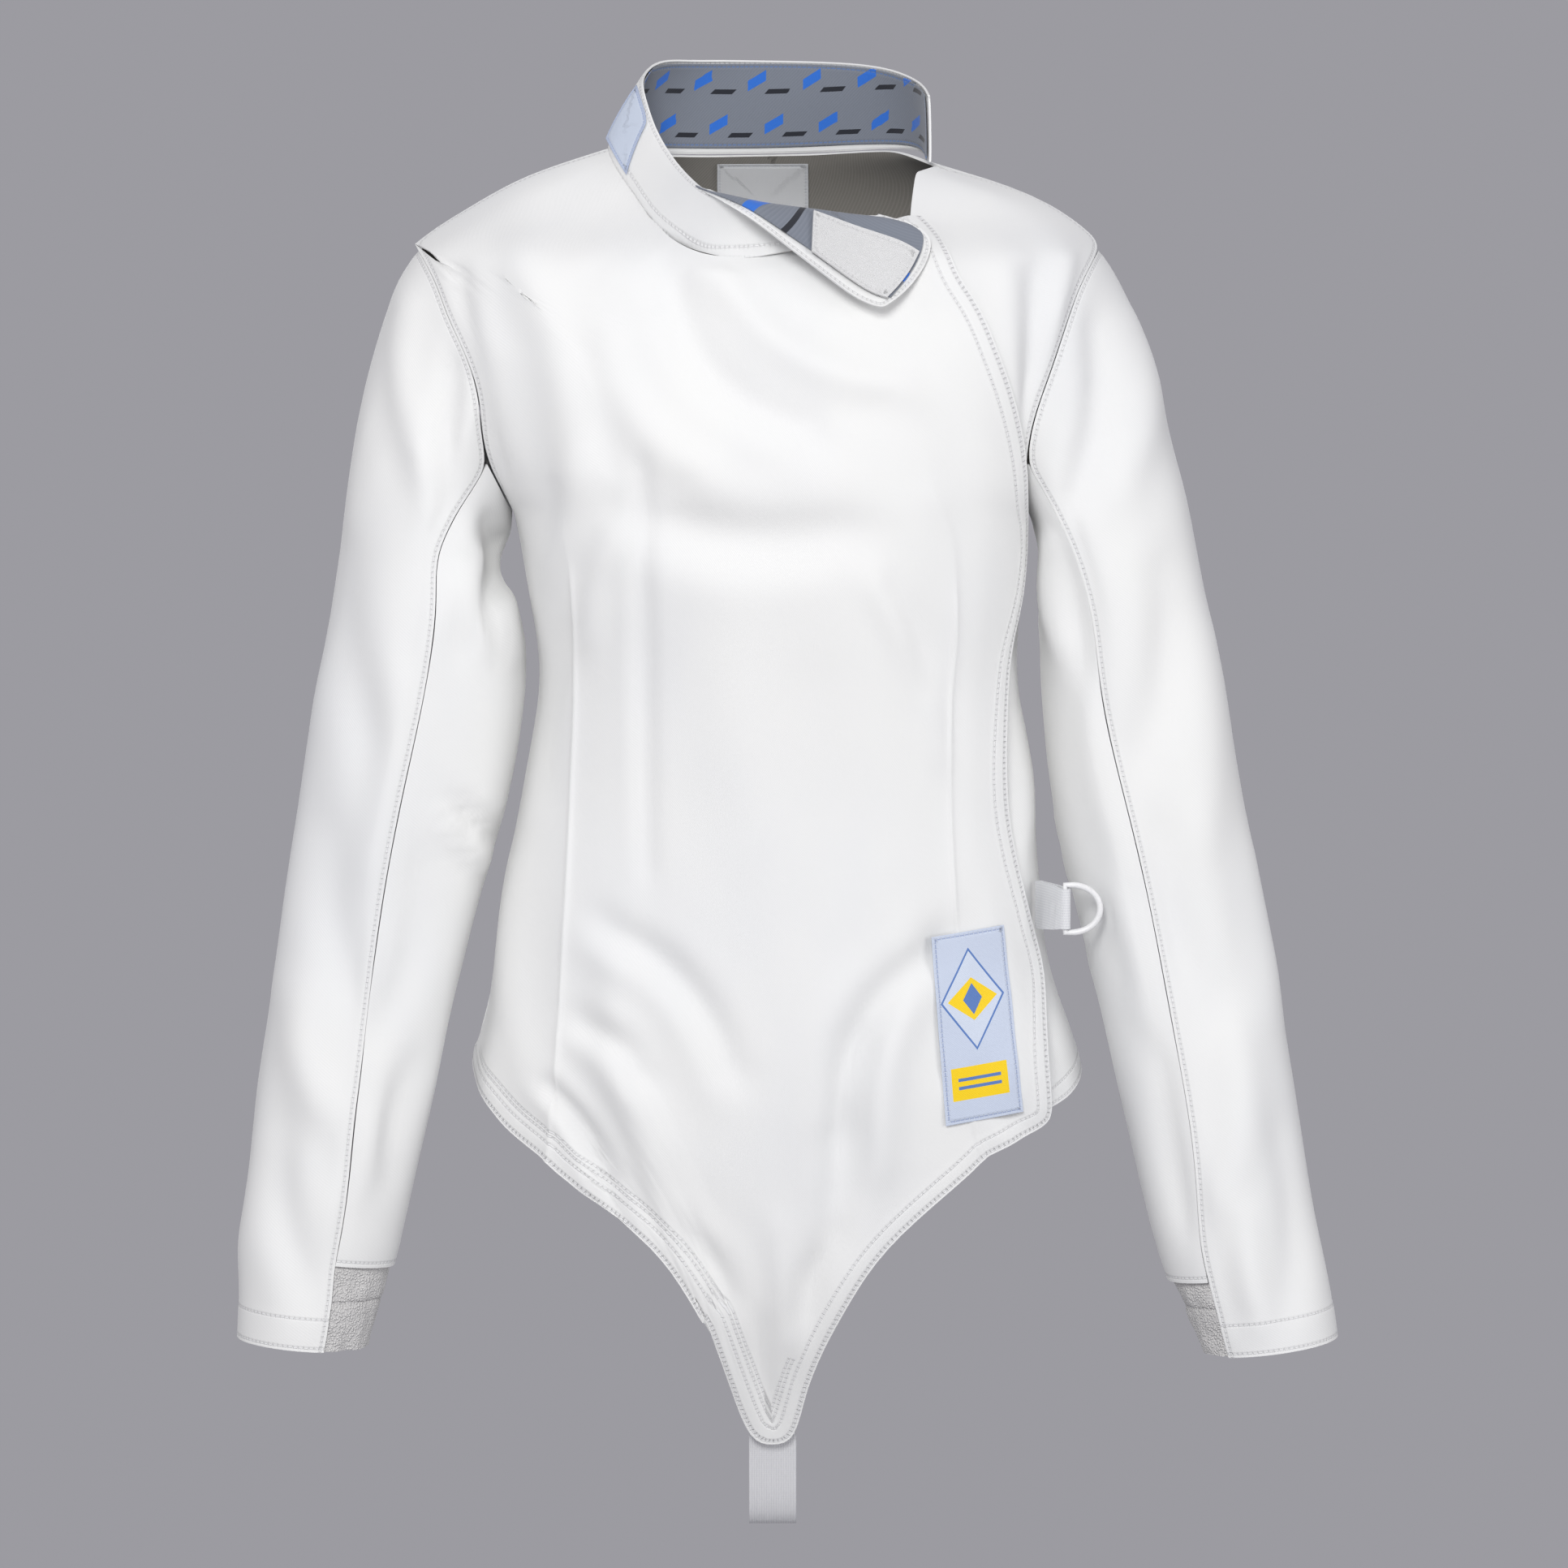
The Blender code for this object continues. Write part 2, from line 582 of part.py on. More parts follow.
def hem_points():
    """Lower end of every column of the front."""
    leg = (RIGHT_COLUMN - LEFT_COLUMN - TIP_COLUMNS) // 2
    left = along(FRONT_HEM[:HEM_DART_LEFT + 1], LEFT_COLUMN)
    down = along(FRONT_HEM[HEM_DART_LEFT:HEM_TIP_START + 1], leg)
    tip = along(FRONT_HEM[HEM_TIP_START:HEM_TIP_END + 1], TIP_COLUMNS)
    up = along(FRONT_HEM[HEM_TIP_END:HEM_DART_RIGHT + 1], leg)
    right = along(FRONT_HEM[HEM_DART_RIGHT:], LAST - RIGHT_COLUMN)
    pts = left + down[1:] + tip[1:] + up[1:] + right[1:]
    for middle in (LEFT_COLUMN, RIGHT_COLUMN):
        for side in (-1, 1):
            pts[middle + side] = tuple(
                mix(a, b, HEM_NEAR) for a, b in zip(pts[middle], pts[middle + side])
            )
    return pts


HEM_POINTS = hem_points()
FRONT_LEFT = side_rows("left", False, HIP_ROWS)
FLAP_TOP = (-43, -49, -56, -64, -71)


def flap_rows():
    heights = list(FLAP_TOP)
    for k in range(len(ARMHOLE)):
        heights.append(mix(-78, SIDE_TOP, k / (len(ARMHOLE) - 1)))
    for k in range(1, SIDE_ROWS + 1):
        heights.append(mix(SIDE_TOP, SIDE_MIDDLE, k / SIDE_ROWS))
    for k in range(1, HIP_ROWS + 1):
        heights.append(mix(SIDE_MIDDLE, -587.0, k / HIP_ROWS))
    return [(angle_of(edge_at(FLAP_EDGE, z), z), z) for z in heights]


FRONT_RIGHT = flap_rows()


def column_parts(row):
    """Where each column lies between the left edge and the flap edge, 0 to 1."""
    z = min(FRONT_LEFT[row][1], DART_LEVEL)
    a0, a1 = FRONT_LEFT[row][0], FRONT_RIGHT[row][0]
    if FRONT_LEFT[row][1] > DART_LEVEL:
        a0, a1 = LEVEL_LEFT, angle_of(edge_at(FLAP_EDGE, z), z)
    left = (angle_of(edge_at(DART_LEFT, z), z) - a0) / (a1 - a0)
    right = (angle_of(edge_at(DART_RIGHT, z), z) - a0) / (a1 - a0)
    fade = smooth(row / DART_ROWS)
    left = mix(TOP_NEAR[0], left, fade)
    right = mix(TOP_NEAR[1], right, fade)
    stops = {0: 0.0, LAST: 1.0}
    for middle, part in ((LEFT_COLUMN, left), (RIGHT_COLUMN, right)):
        stops.update({middle - 1: part - DART_NEAR, middle: part, middle + 1: part + DART_NEAR})
    keys = sorted(stops)
    parts = []
    for c in range(LAST + 1):
        k = max(i for i, key in enumerate(keys) if key <= c)
        if keys[k] == c:
            parts.append(stops[c])
        else:
            t = (c - keys[k]) / (keys[k + 1] - keys[k])
            parts.append(mix(stops[keys[k]], stops[keys[k + 1]], t))
    return parts


def front_grid():
    """Angle and height of every point of the front."""
    top_points = along(NECK_FRONT, LAST)
    grid = []
    plain_top = None
    for row in range(UPPER_ROWS):
        a0, z0 = FRONT_LEFT[row]
        a1, z1 = FRONT_RIGHT[row]
        x0, x1 = body_point(a0, z0).x, body_point(a1, z1).x
        parts = column_parts(row)
        line = [(mix(x0, x1, t), mix(z0, z1, t)) for t in parts]
        if plain_top is None:
            plain_top = line
        hold = 1.0 - smooth(row / TOP_ROWS)
        out = []
        for c, (x, z) in enumerate(line):
            x += hold * (top_points[c][0] - plain_top[c][0])
            z += hold * (top_points[c][1] - plain_top[c][1])
            turn = mix(angle_of(x, z), mix(a0, a1, parts[c]), turn_share(row))
            out.append((turn, z))
        out[0] = (a0, z0)
        out[-1] = (a1, z1)
        grid.append(out)
    start = grid[-1]
    for k in range(1, HIP_ROWS + 1):
        t = k / HIP_ROWS
        row = UPPER_ROWS - 1 + k
        out = []
        for c in range(LAST + 1):
            x_end, z_end = HEM_POINTS[c]
            z = mix(start[c][1], z_end, t)
            turn = mix(start[c][0], angle_of(x_end, z_end), t)
            if c == LEFT_COLUMN:
                turn = angle_of(edge_at(DART_LEFT, z), z)
            if c == RIGHT_COLUMN:
                turn = angle_of(edge_at(DART_RIGHT, z), z)
            out.append((turn, z))
        out[0] = FRONT_LEFT[row]
        out[-1] = FRONT_RIGHT[row]
        for middle in (LEFT_COLUMN, RIGHT_COLUMN):
            for side in (-1, 1):
                turn, z = out[middle]
                far = out[middle + 2 * side]
                step = math.copysign(DART_NEAR_TURN, far[0] - turn)
                out[middle + side] = (turn + step, mix(z, far[1], HEM_NEAR))
        grid.append(out)
    return grid


FRONT_GRID = front_grid()


def front_walls():
    outer, inner = [], []
    rows = len(FRONT_GRID)
    badge_low = BADGE_CORNERS[3][1] - BADGE_MARGIN
    badge_high = BADGE_CORNERS[0][1] + BADGE_MARGIN
    for r, line in enumerate(FRONT_GRID):
        hem = HEM_STEP if r >= rows - 2 else 0.0
        outs, ins = [], []
        for c, (turn, z) in enumerate(line):
            ridge = 0.0
            if c in (LEFT_COLUMN, RIGHT_COLUMN):
                ridge = DART_RIDGE * smooth((DART_TOP - z) / DART_FADE)
            if c == RIGHT_COLUMN and badge_low < z < badge_high:
                ridge = 0.0
            edge = HEM_STEP if c >= LAST - 1 else 0.0
            fold_part = smooth(c / 2.0)
            outs.append(front_point(turn, z, max(hem, edge) + ridge, fold_part))
            ins.append(front_point(turn, z, -CLOTH, fold_part))
        outer.append(outs)
        inner.append(ins)
    return outer, inner


front_outer, front_inner = front_walls()
make_wall("front", front_outer, front_inner, white)


# Wearer's left front and side: under the flap, round to the side seam.
LEFT_SIDE_HIP_ROWS = 7
SIDE_RIGHT_FRONT = side_rows("right", False, LEFT_SIDE_HIP_ROWS)
SIDE_COLUMNS = 6


def left_front_walls():
    count = len(SIDE_RIGHT_FRONT)
    outer, inner = [], []
    for r in range(count):
        a1, z1 = SIDE_RIGHT_FRONT[r]
        if r <= len(SHOULDER_HEIGHTS) + 1:
            z0 = mix(-13.0, -70.0, r / (len(SHOULDER_HEIGHTS) + 1))
        elif r < UPPER_ROWS:
            z0 = z1 + mix(-14.0, 0.0, smooth((r - 5) / 8.0))
        else:
            t = (r - UPPER_ROWS + 1) / LEFT_SIDE_HIP_ROWS
            z0 = mix(SIDE_MIDDLE, -585.0, t)
        x0 = edge_at(UNDER_EDGE, z0)
        a0 = angle_of(x0, z0)
        x1 = body_point(a1, z1).x
        outs, ins = [], []
        for c in range(SIDE_COLUMNS + 1):
            t = c / SIDE_COLUMNS
            z = mix(z0, z1, t)
            turn = turn_between(r, x0, x1, a0, a1, z, t, False)
            if c == 0:
                turn = a0
            if c == SIDE_COLUMNS:
                turn = a1
            if r == count - 1:
                z = mix(z0, z1, smooth(t * 0.75) / smooth(0.75))
            fold = folds_at(body_point(turn, z).x, z) * smooth(t * 3.0) * smooth((1 - t) * 3.0)
            outs.append(plain_point(turn, z, fold))
            ins.append(plain_point(turn, z, fold - CLOTH))
        outer.append(outs)
        inner.append(ins)
    return outer, inner


make_wall("left_front", *left_front_walls(), white)


# Back: from the left side seam round behind to the right one.
BACK_COLUMNS = 18
BACK_HIP_ROWS = 7
BACK_LEFT = side_rows("left", True, BACK_HIP_ROWS)
BACK_RIGHT = side_rows("right", True, BACK_HIP_ROWS)
BACK_DIP = 14.0


def back_walls():
    count = len(BACK_LEFT)
    top_points = along(NECK_BACK, BACK_COLUMNS)
    plain_top = None
    outer, inner = [], []
    for r in range(count):
        a0, z0 = BACK_LEFT[r]
        a1, z1 = BACK_RIGHT[r]
        x0, x1 = body_point(a0, z0).x, body_point(a1, z1).x
        low = max(0.0, (r - UPPER_ROWS + 1) / BACK_HIP_ROWS)
        hold = 1.0 - smooth(r / 10.0)
        line = []
        for c in range(BACK_COLUMNS + 1):
            t = c / BACK_COLUMNS
            line.append((mix(x0, x1, t), mix(z0, z1, t)))
        if plain_top is None:
            plain_top = line
        outs, ins = [], []
        for c, (x, z) in enumerate(line):
            t = c / BACK_COLUMNS
            x += hold * (top_points[c][0] - plain_top[c][0])
            z += hold * (top_points[c][1] - plain_top[c][1])
            z -= BACK_DIP * low * math.sin(math.pi * t)
            by_width = angle_of(x, z, True) % 360.0
            turn = mix(by_width, mix(a0 % 360.0, a1, t), turn_share(r))
            if c == 0:
                turn, z = a0 % 360.0, z0
            if c == BACK_COLUMNS:
                turn, z = a1, z1
            hem = HEM_STEP if r >= count - 2 else 0.0
            outs.append(plain_point(turn, z, hem))
            ins.append(plain_point(turn, z, -CLOTH))
        outer.append(outs)
        inner.append(ins)
    return outer, inner


back_outer, back_inner = back_walls()
make_wall("back", back_outer, back_inner, white)


# Sleeves: rings from the armhole to the cuff, cut into a top sleeve and an under-sleeve.

def armhole_ring(hand):
    """Armhole points, from the armpit up the front, over the shoulder and down the back."""
    sign = -1 if hand == "left" else 1
    ring = [(sign * 90.0, SIDE_TOP)]
    for row in reversed(ARMHOLE[1:-1]):
        x = row[ARMHOLE_COLUMNS.index(hand + "_front")]
        ring.append((angle_of(sign * x, row[0]), row[0]))
    ring.append((sign * SHOULDER_ANGLE, ARMHOLE[0][0]))
    for row in ARMHOLE[1:-1]:
        x = row[ARMHOLE_COLUMNS.index(hand + "_back")]
        ring.append((angle_of(sign * x, row[0], True), row[0]))
    points = [plain_point(a, z) for a, z in ring]
    normals = [body_normal(a, z) for a, z in ring]
    return points, normals


def ring_degrees(points):
    """Part of the turn for each armhole point: armpit 0, shoulder 180."""
    top = len(ARMHOLE) - 1
    lengths = [0.0]
    closed = points + [points[0]]
    for p, q in zip(closed, closed[1:]):
        lengths.append(lengths[-1] + (q - p).length)
    out = []
    for k in range(len(points)):
        if k <= top:
            out.append(180.0 * lengths[k] / lengths[top])
        else:
            out.append(180.0 + 180.0 * (lengths[k] - lengths[top]) / (lengths[-1] - lengths[top]))
    return out


def sleeve_rings(hand):
    """Outer points and inward directions, ring by ring."""
    table = SLEEVE_LEFT if hand == "left" else SLEEVE_RIGHT
    hole, hole_normals = armhole_ring(hand)
    degrees = ring_degrees(hole)
    front_seam = len(ARMHOLE) - 1 - JUNCTION_ROW
    back_seam = len(hole) - front_seam
    start_front = degrees[front_seam]
    start_back = degrees[back_seam] - 360.0

    def spot(row, turn):
        ox, oz, ix, iz, forward, front, back = row[:7]
        c, s = math.cos(math.radians(turn)), math.sin(math.radians(turn))
        deep = front if s > 0 else back
        return Vector((
            mix(ox, ix, (1 + c) / 2), -forward - deep * s, mix(oz, iz, (1 + c) / 2),
        ))

    def turn_at(row, k):
        seam_front, seam_back = row[7], row[8]
        d = degrees[k]
        if d >= start_back + 360.0:
            d -= 360.0
        if d <= start_front:
            t = (d - start_back) / (start_front - start_back)
            return mix(seam_back, seam_front, t)
        t = (d - start_front) / (start_back + 360.0 - start_front)
        return mix(seam_front, seam_back + 360.0, t)

    goal = table[SHAPING_ROWS]
    rings = []
    for r, row in enumerate(table):
        ring = []
        for k, p in enumerate(hole):
            if r >= SHAPING_ROWS:
                ring.append(spot(row, turn_at(row, k)))
                continue
            t = (r + 1) / (SHAPING_ROWS + 1)
            base = p.lerp(spot(goal, turn_at(goal, k)), t)
            c = math.cos(math.radians(degrees[k]))
            out_gap = spot(row, 180.0) - hole[len(ARMHOLE) - 1].lerp(spot(goal, 180.0), t)
            in_gap = spot(row, 0.0) - hole[0].lerp(spot(goal, 0.0), t)
            ring.append(base + out_gap * smooth(-c) + in_gap * smooth(c))
        rings.append(ring)
    count = len(hole)
    middle = sum(hole, Vector()) / count
    first, first_normals = [], []
    for k, p in enumerate(hole):
        n = hole_normals[k]
        seam_way = (hole[(k + 1) % count] - hole[k - 1]).normalized()
        into = n.cross(seam_way)
        if into.dot(middle - p) < 0:
            into = -into
        leave = rings[0][k] - p
        flat, rise = leave.dot(into), leave.dot(n)
        size = math.hypot(flat, rise)
        flat, rise = flat / size, rise / size
        start = (into * max(0.0, flat) + n * max(0.0, rise)).normalized()
        first.append(p + start * ARMHOLE_SEAM)
        first_normals.append((n * flat - into * rise).normalized())
    rings.insert(0, first)
    normals = [first_normals]
    for r in range(1, len(rings)):
        line = []
        for k in range(count):
            across = rings[r][(k + 1) % count] - rings[r][k - 1]
            down = rings[min(r + 1, len(rings) - 1)][k] - rings[r - 1][k]
            n = across.cross(down).normalized()
            middle = sum(rings[r], Vector()) / count
            if n.dot(rings[r][k] - middle) < 0:
                n = -n
            line.append(n)
        normals.append(line)
    return rings, normals, front_seam, back_seam


def strip_of(rings, normals, ks, rows, inward, pull):
    """Outer and inner grids of the columns ks, drawn in a little at both long edges."""
    outer, inner = [], []
    for r in rows:
        outs, ins = [], []
        for place, k in enumerate(ks):
            p, n = rings[r][k], normals[r][k]
            if place in (0, len(ks) - 1):
                near = ks[1] if place == 0 else ks[-2]
                way = rings[r][near] - p
                way -= n * way.dot(n)
                p = p + way.normalized() * pull
            outs.append(p - n * inward)
            ins.append(p - n * (inward + CLOTH))
        outer.append(outs)
        inner.append(ins)
    return outer, inner


CUFF_TUCK = 1           # rings the cuff insert reaches up inside the under-sleeve
CUFF_INWARD = 2.5       # the insert lies this far inside the outer face of the sleeve
CUFF_EDGE = 0.6         # and this far short of the seams at its edges


def build_sleeve(hand):
    rings, normals, front_seam, back_seam = sleeve_rings(hand)
    count = len(rings[0])
    top = list(range(front_seam, back_seam + 1))
    under = list(range(back_seam, count)) + list(range(0, front_seam + 1))
    rows = range(len(rings))
    under_rows = rows[:UNDER_SLEEVE_END + 2]
    cuff_rows = rows[UNDER_SLEEVE_END + 1 - CUFF_TUCK:]
    top_walls = strip_of(rings, normals, top, rows, 0.0, SEAM / 2)
    under_walls = strip_of(rings, normals, under, under_rows, 0.0, SEAM / 2)
    cuff_walls = strip_of(rings, normals, under, cuff_rows, CUFF_INWARD, CUFF_EDGE)
    make_wall("sleeve_" + hand, *top_walls, side_white)
    make_wall("under_sleeve_" + hand, *under_walls, side_white)
    make_wall("cuff_" + hand, *cuff_walls, towelling)


build_sleeve("left")
build_sleeve("right")


# Collar: a strip from the neck seam to its free edge; the end at the front is turned over.

COLLAR_TRACKS = [[row[i] for row in COLLAR] for i in range(len(COLLAR_COLUMNS))]


def collar_point(u, t):
    """A point of the collar: u from the wearer's left end to the turned end, t up from the seam."""
    marks = list(range(len(COLLAR)))
    v = [curve_through(marks, track, u * marks[-1]) for track in COLLAR_TRACKS]
    seam = Vector((v[0], v[1], v[2] + COLLAR_RISE))
    roll, edge = Vector(v[3:6]), Vector(v[6:9])
    arch = (roll - (seam + edge) / 2.0) / COLLAR_ARCH
    return seam.lerp(edge, smooth(t)) + arch * (3.0 * t * (1.0 - t))


def collar_normal(u, t):
    du, dt = 0.006, 0.03
    across = collar_point(min(1.0, u + du), t) - collar_point(max(0.0, u - du), t)
    up = collar_point(u, min(1.0, t + dt)) - collar_point(u, max(0.0, t - dt))
    return across.cross(up).normalized()


def collar_layer(name, us, ts, near, far, mat):
    """A layer of the collar between two distances out from its outer face."""
    walls = []
    for out in (near, far):
        walls.append([[collar_point(u, t) + collar_normal(u, t) * out for u in us] for t in ts])
    return make_wall(name, walls[0], walls[1], mat)


def spread(low, high, count):
    return [mix(low, high, k / count) for k in range(count + 1)]


collar_us = [0.0, LINING_ENDS] + spread(0.0, 1.0, COLLAR_STATIONS)[1:-1] + [1.0 - LINING_ENDS, 1.0]
lining_face = -COLLAR_WALL - LINING_CLEAR
pad_face = lining_face - LINING_WALL - PAD_CLEAR
collar_layer("collar", collar_us, COLLAR_STEPS, 0.0, -COLLAR_WALL, white)
collar_layer(
    "collar_lining", collar_us[1:-1], COLLAR_STEPS[1:-1], lining_face, lining_face - LINING_WALL,
    grey_lining,
)
collar_layer(
    "loop_pad", spread(*PAD_FROM, 6), spread(*PAD_ACROSS, 3), pad_face, pad_face - PAD_WALL, pad_white,
)
collar_layer(
    "collar_label", spread(*SIDE_LABEL[0:2], 3), spread(*SIDE_LABEL[2:4], 5),
    SIDE_LABEL_CLEAR, SIDE_LABEL_CLEAR + LABEL_WALL, label_blue,
)


# Badge: laid on the lower front.

def surface_of(grid):
    cols = len(grid[0])
    points = [p for line in grid for p in line]
    faces = []
    for r in range(len(grid) - 1):
        for c in range(cols - 1):
            k = r * cols + c
            faces.append((k, k + 1, k + cols + 1, k + cols))
    return BVHTree.FromPolygons(points, faces)


front_surface = surface_of(front_outer)


def badge_walls():
    rows, cols = BADGE_ROWS, BADGE_COLUMNS
    near, far = [], []
    for r in range(rows + 1):
        a, b = [], []
        for c in range(cols + 1):
            u, v = c / cols, r / rows
            top = [mix(p, q, u) for p, q in zip(BADGE_CORNERS[0], BADGE_CORNERS[1])]
            low = [mix(p, q, u) for p, q in zip(BADGE_CORNERS[3], BADGE_CORNERS[2])]
            x, z = mix(top[0], low[0], v), mix(top[1], low[1], v)
            hit = front_surface.ray_cast(Vector((x, PIERCE_FROM, z)), Vector((0, 1, 0)))[0]
            n = body_normal(angle_of(x, z), z)
            a.append(hit + n * BADGE_RISE)
            b.append(hit + n * (BADGE_RISE + BADGE_WALL))
        near.append(a)
        far.append(b)
    return far, near


make_wall("badge", *badge_walls(), badge_blue)


# Neck label: hangs inside the back below the neck seam.

def neck_label_walls():
    x0, x1, z0, z1 = NECK_LABEL
    rows, cols = 5, 6
    near, far = [], []
    for r in range(rows + 1):
        a, b = [], []
        for c in range(cols + 1):
            x = mix(x0, x1, c / cols)
            z = mix(z0, z1, r / rows)
            turn = angle_of(x, z, True)
            a.append(plain_point(turn, z, -CLOTH - LABEL_CLEAR))
            b.append(plain_point(turn, z, -CLOTH - LABEL_CLEAR - LABEL_WALL))
        near.append(a)
        far.append(b)
    return near, far


make_wall("neck_label", *neck_label_walls(), label_white)


# Crotch elastic: sewn inside the front tip, loops down and up to the inside of the back hem.

def strap_walls():
    half = STRAP_WIDTH / 2.0
    path = [Vector((0.0, y, z)) for y, z in STRAP_PATH]
    outer, inner = [], []
    sides = [Vector((side * half, 0.0, 0.0)) for side in (-1, 0, 1)]
    for k, p in enumerate(path):
        way = path[min(k + 1, len(path) - 1)] - path[max(k - 1, 0)]
        n = Vector((1.0, 0.0, 0.0)).cross(way).normalized() * (STRAP_WALL / 2)
        outer.append([p + side + n for side in sides])
        inner.append([p + side - n for side in sides])
    return outer, inner


make_wall("crotch_elastic", *strap_walls(), elastic)


# Webbing loop and D-ring on the side.

RING_CLEAR = 0.4        # between the ring's bar and the webbing folded round it
LOOP_ROOT_HALF = 0.5    # half the space between the two layers at the stitched root
LOOP_NECK = 0.35        # where the layers start to part, as a part of the length
LOOP_NECK_HALF = 0.7
LOOP_WRAP = 105.0       # degrees either way that the webbing follows the bar
LOOP_BENDS = 8
LOOP_TAPER = 0.6        # part of the length over which the loop narrows to the ring
RING_ARC = 12           # steps round the ring's bow
RING_SHOULDER = 0.12    # part of its depth where the bow starts
RING_ROUND = 0.9        # below 1 makes the bow fuller than a circle

def loop_path(out):
    """One face of the folded webbing from above: distance out along it, and across it."""
    r = RING_WIRE / 2 + RING_CLEAR + out
    flat = [(-LOOP_LONG, LOOP_ROOT_HALF + out), (-LOOP_LONG * LOOP_NECK, LOOP_NECK_HALF + out)]
    bend = []
    for k in range(LOOP_BENDS + 1):
        a = math.radians(mix(LOOP_WRAP, -LOOP_WRAP, k / LOOP_BENDS))
        bend.append((r * math.cos(a), r * math.sin(a)))
    return flat + bend + [(u, -v) for u, v in flat[::-1]]


def loop_walls():
    turn = math.radians(LOOP_TURN)
    ahead = Vector((math.cos(turn), math.sin(turn), 0.0))
    aside = Vector((-math.sin(turn), math.cos(turn), 0.0))
    bar = Vector(RING_BAR)
    outer, inner = [], []
    for (uo, vo), (ui, vi) in zip(loop_path(LOOP_WALL), loop_path(0.0)):
        narrowing = smooth(1.0 + uo / (LOOP_TAPER * LOOP_LONG))
        half = mix(LOOP_HIGH, LOOP_END_HIGH, narrowing) / 2.0
        heights = [Vector((0.0, 0.0, side * half)) for side in (-1, 0, 1)]
        outer.append([bar + ahead * uo + aside * vo + h for h in heights])
        inner.append([bar + ahead * ui + aside * vi + h for h in heights])
    return outer, inner


make_wall("side_loop", *loop_walls(), webbing)


def ring_curve():
    """White D-ring: round wire bent to a D, its straight bar inside the loop."""
    wire = RING_WIRE / 2.0
    half = RING_HIGH / 2.0 - wire
    reach = RING_DEEP - RING_WIRE
    pts = [(0.0, -half), (0.0, -half / 3), (0.0, half / 3), (0.0, half)]
    for k in range(1, RING_ARC):
        a = math.pi / 2 - math.pi * k / RING_ARC
        bow = mix(RING_SHOULDER, 1.0, math.cos(a) ** RING_ROUND)
        pts.append((reach * bow, half * math.sin(a)))
    curve = bpy.data.curves.new("d_ring", "CURVE")
    curve.dimensions = "3D"
    line = curve.splines.new("POLY")
    line.points.add(len(pts) - 1)
    for point, (x, z) in zip(line.points, pts):
        point.co = (x * MM, 0.0, z * MM, 1.0)
    line.use_cyclic_u = True
    curve.bevel_depth = wire * MM
    curve.bevel_resolution = 2
    curve.materials.append(ring_white)
    ring = bpy.data.objects.new("d_ring", curve)
    ring.location = Vector(RING_BAR) * MM
    jacket.objects.link(ring)


ring_curve()
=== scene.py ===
import math

import bmesh
import bpy
import numpy as np
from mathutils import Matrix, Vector, kdtree, noise
from mathutils.bvhtree import BVHTree


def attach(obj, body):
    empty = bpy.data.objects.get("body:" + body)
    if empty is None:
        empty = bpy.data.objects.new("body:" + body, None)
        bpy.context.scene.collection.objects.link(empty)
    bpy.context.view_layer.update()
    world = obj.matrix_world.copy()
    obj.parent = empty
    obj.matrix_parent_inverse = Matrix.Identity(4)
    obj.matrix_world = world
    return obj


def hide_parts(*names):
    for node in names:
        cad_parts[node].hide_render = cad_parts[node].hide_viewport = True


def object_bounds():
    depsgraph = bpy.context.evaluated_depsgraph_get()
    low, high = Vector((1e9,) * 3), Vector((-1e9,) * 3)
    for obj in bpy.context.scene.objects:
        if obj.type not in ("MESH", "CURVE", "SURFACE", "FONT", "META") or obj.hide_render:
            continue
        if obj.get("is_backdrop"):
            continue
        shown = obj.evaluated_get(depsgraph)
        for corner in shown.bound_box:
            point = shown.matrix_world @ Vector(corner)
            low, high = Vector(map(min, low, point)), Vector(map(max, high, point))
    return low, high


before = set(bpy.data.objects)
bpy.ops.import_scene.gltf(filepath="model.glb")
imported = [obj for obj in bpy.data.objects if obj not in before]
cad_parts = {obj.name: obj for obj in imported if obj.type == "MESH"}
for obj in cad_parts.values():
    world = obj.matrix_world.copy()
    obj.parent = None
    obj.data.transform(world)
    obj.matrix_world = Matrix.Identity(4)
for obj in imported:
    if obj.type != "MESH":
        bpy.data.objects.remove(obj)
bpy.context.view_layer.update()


# Front: one large panel of matt white stretch weave, with two stitched darts, a turned and
# double-stitched hem round the legs, and a stitched free edge that laps over the side closing.

MM = 0.001
CLOTH_THICK = 1.7           # mm, the folded-in cloth of every panel
WALL_LIMIT = 4.6            # mm, the frame's cloth walls are thinner than this
QUAD_ANGLE = math.radians(50)
RIM_BEND = math.radians(62)
CORNER_BEND = math.radians(45)
SEAM_DEEP = 0.5
SEAM_HALF = 2.2
HEM_DEEP = 12.5             # mm of cloth turned in at a hem
HEM_SOFT = 2.5
CALM_BY_SEAM = 16.0         # mm from a seam over which the creases die out
CALM_BY_NECK = 14.0
CREASE_GAIN = 3.2           # the tables of creases are drawn shallow and deepened together


def smooth_step(t):
    t = np.clip(t, 0.0, 1.0)
    return t * t * (3.0 - 2.0 * t)


def islands_of(faces, bend):
    """Groups of faces that hang together across edges that bend less than an angle."""
    left = set(faces)
    groups = []
    while left:
        stack = [left.pop()]
        group = list(stack)
        while stack:
            for edge in stack.pop().edges:
                if len(edge.link_faces) != 2 or edge.calc_face_angle() > bend:
                    continue
                for other in edge.link_faces:
                    if other in left:
                        left.remove(other)
                        stack.append(other)
                        group.append(other)
        groups.append(group)
    return groups


def facing_out(group):
    """How far a group of faces looks away from the jacket's middle line."""
    return sum(f.calc_area() * f.normal.xy.dot(f.calc_center_median().xy) for f in group)


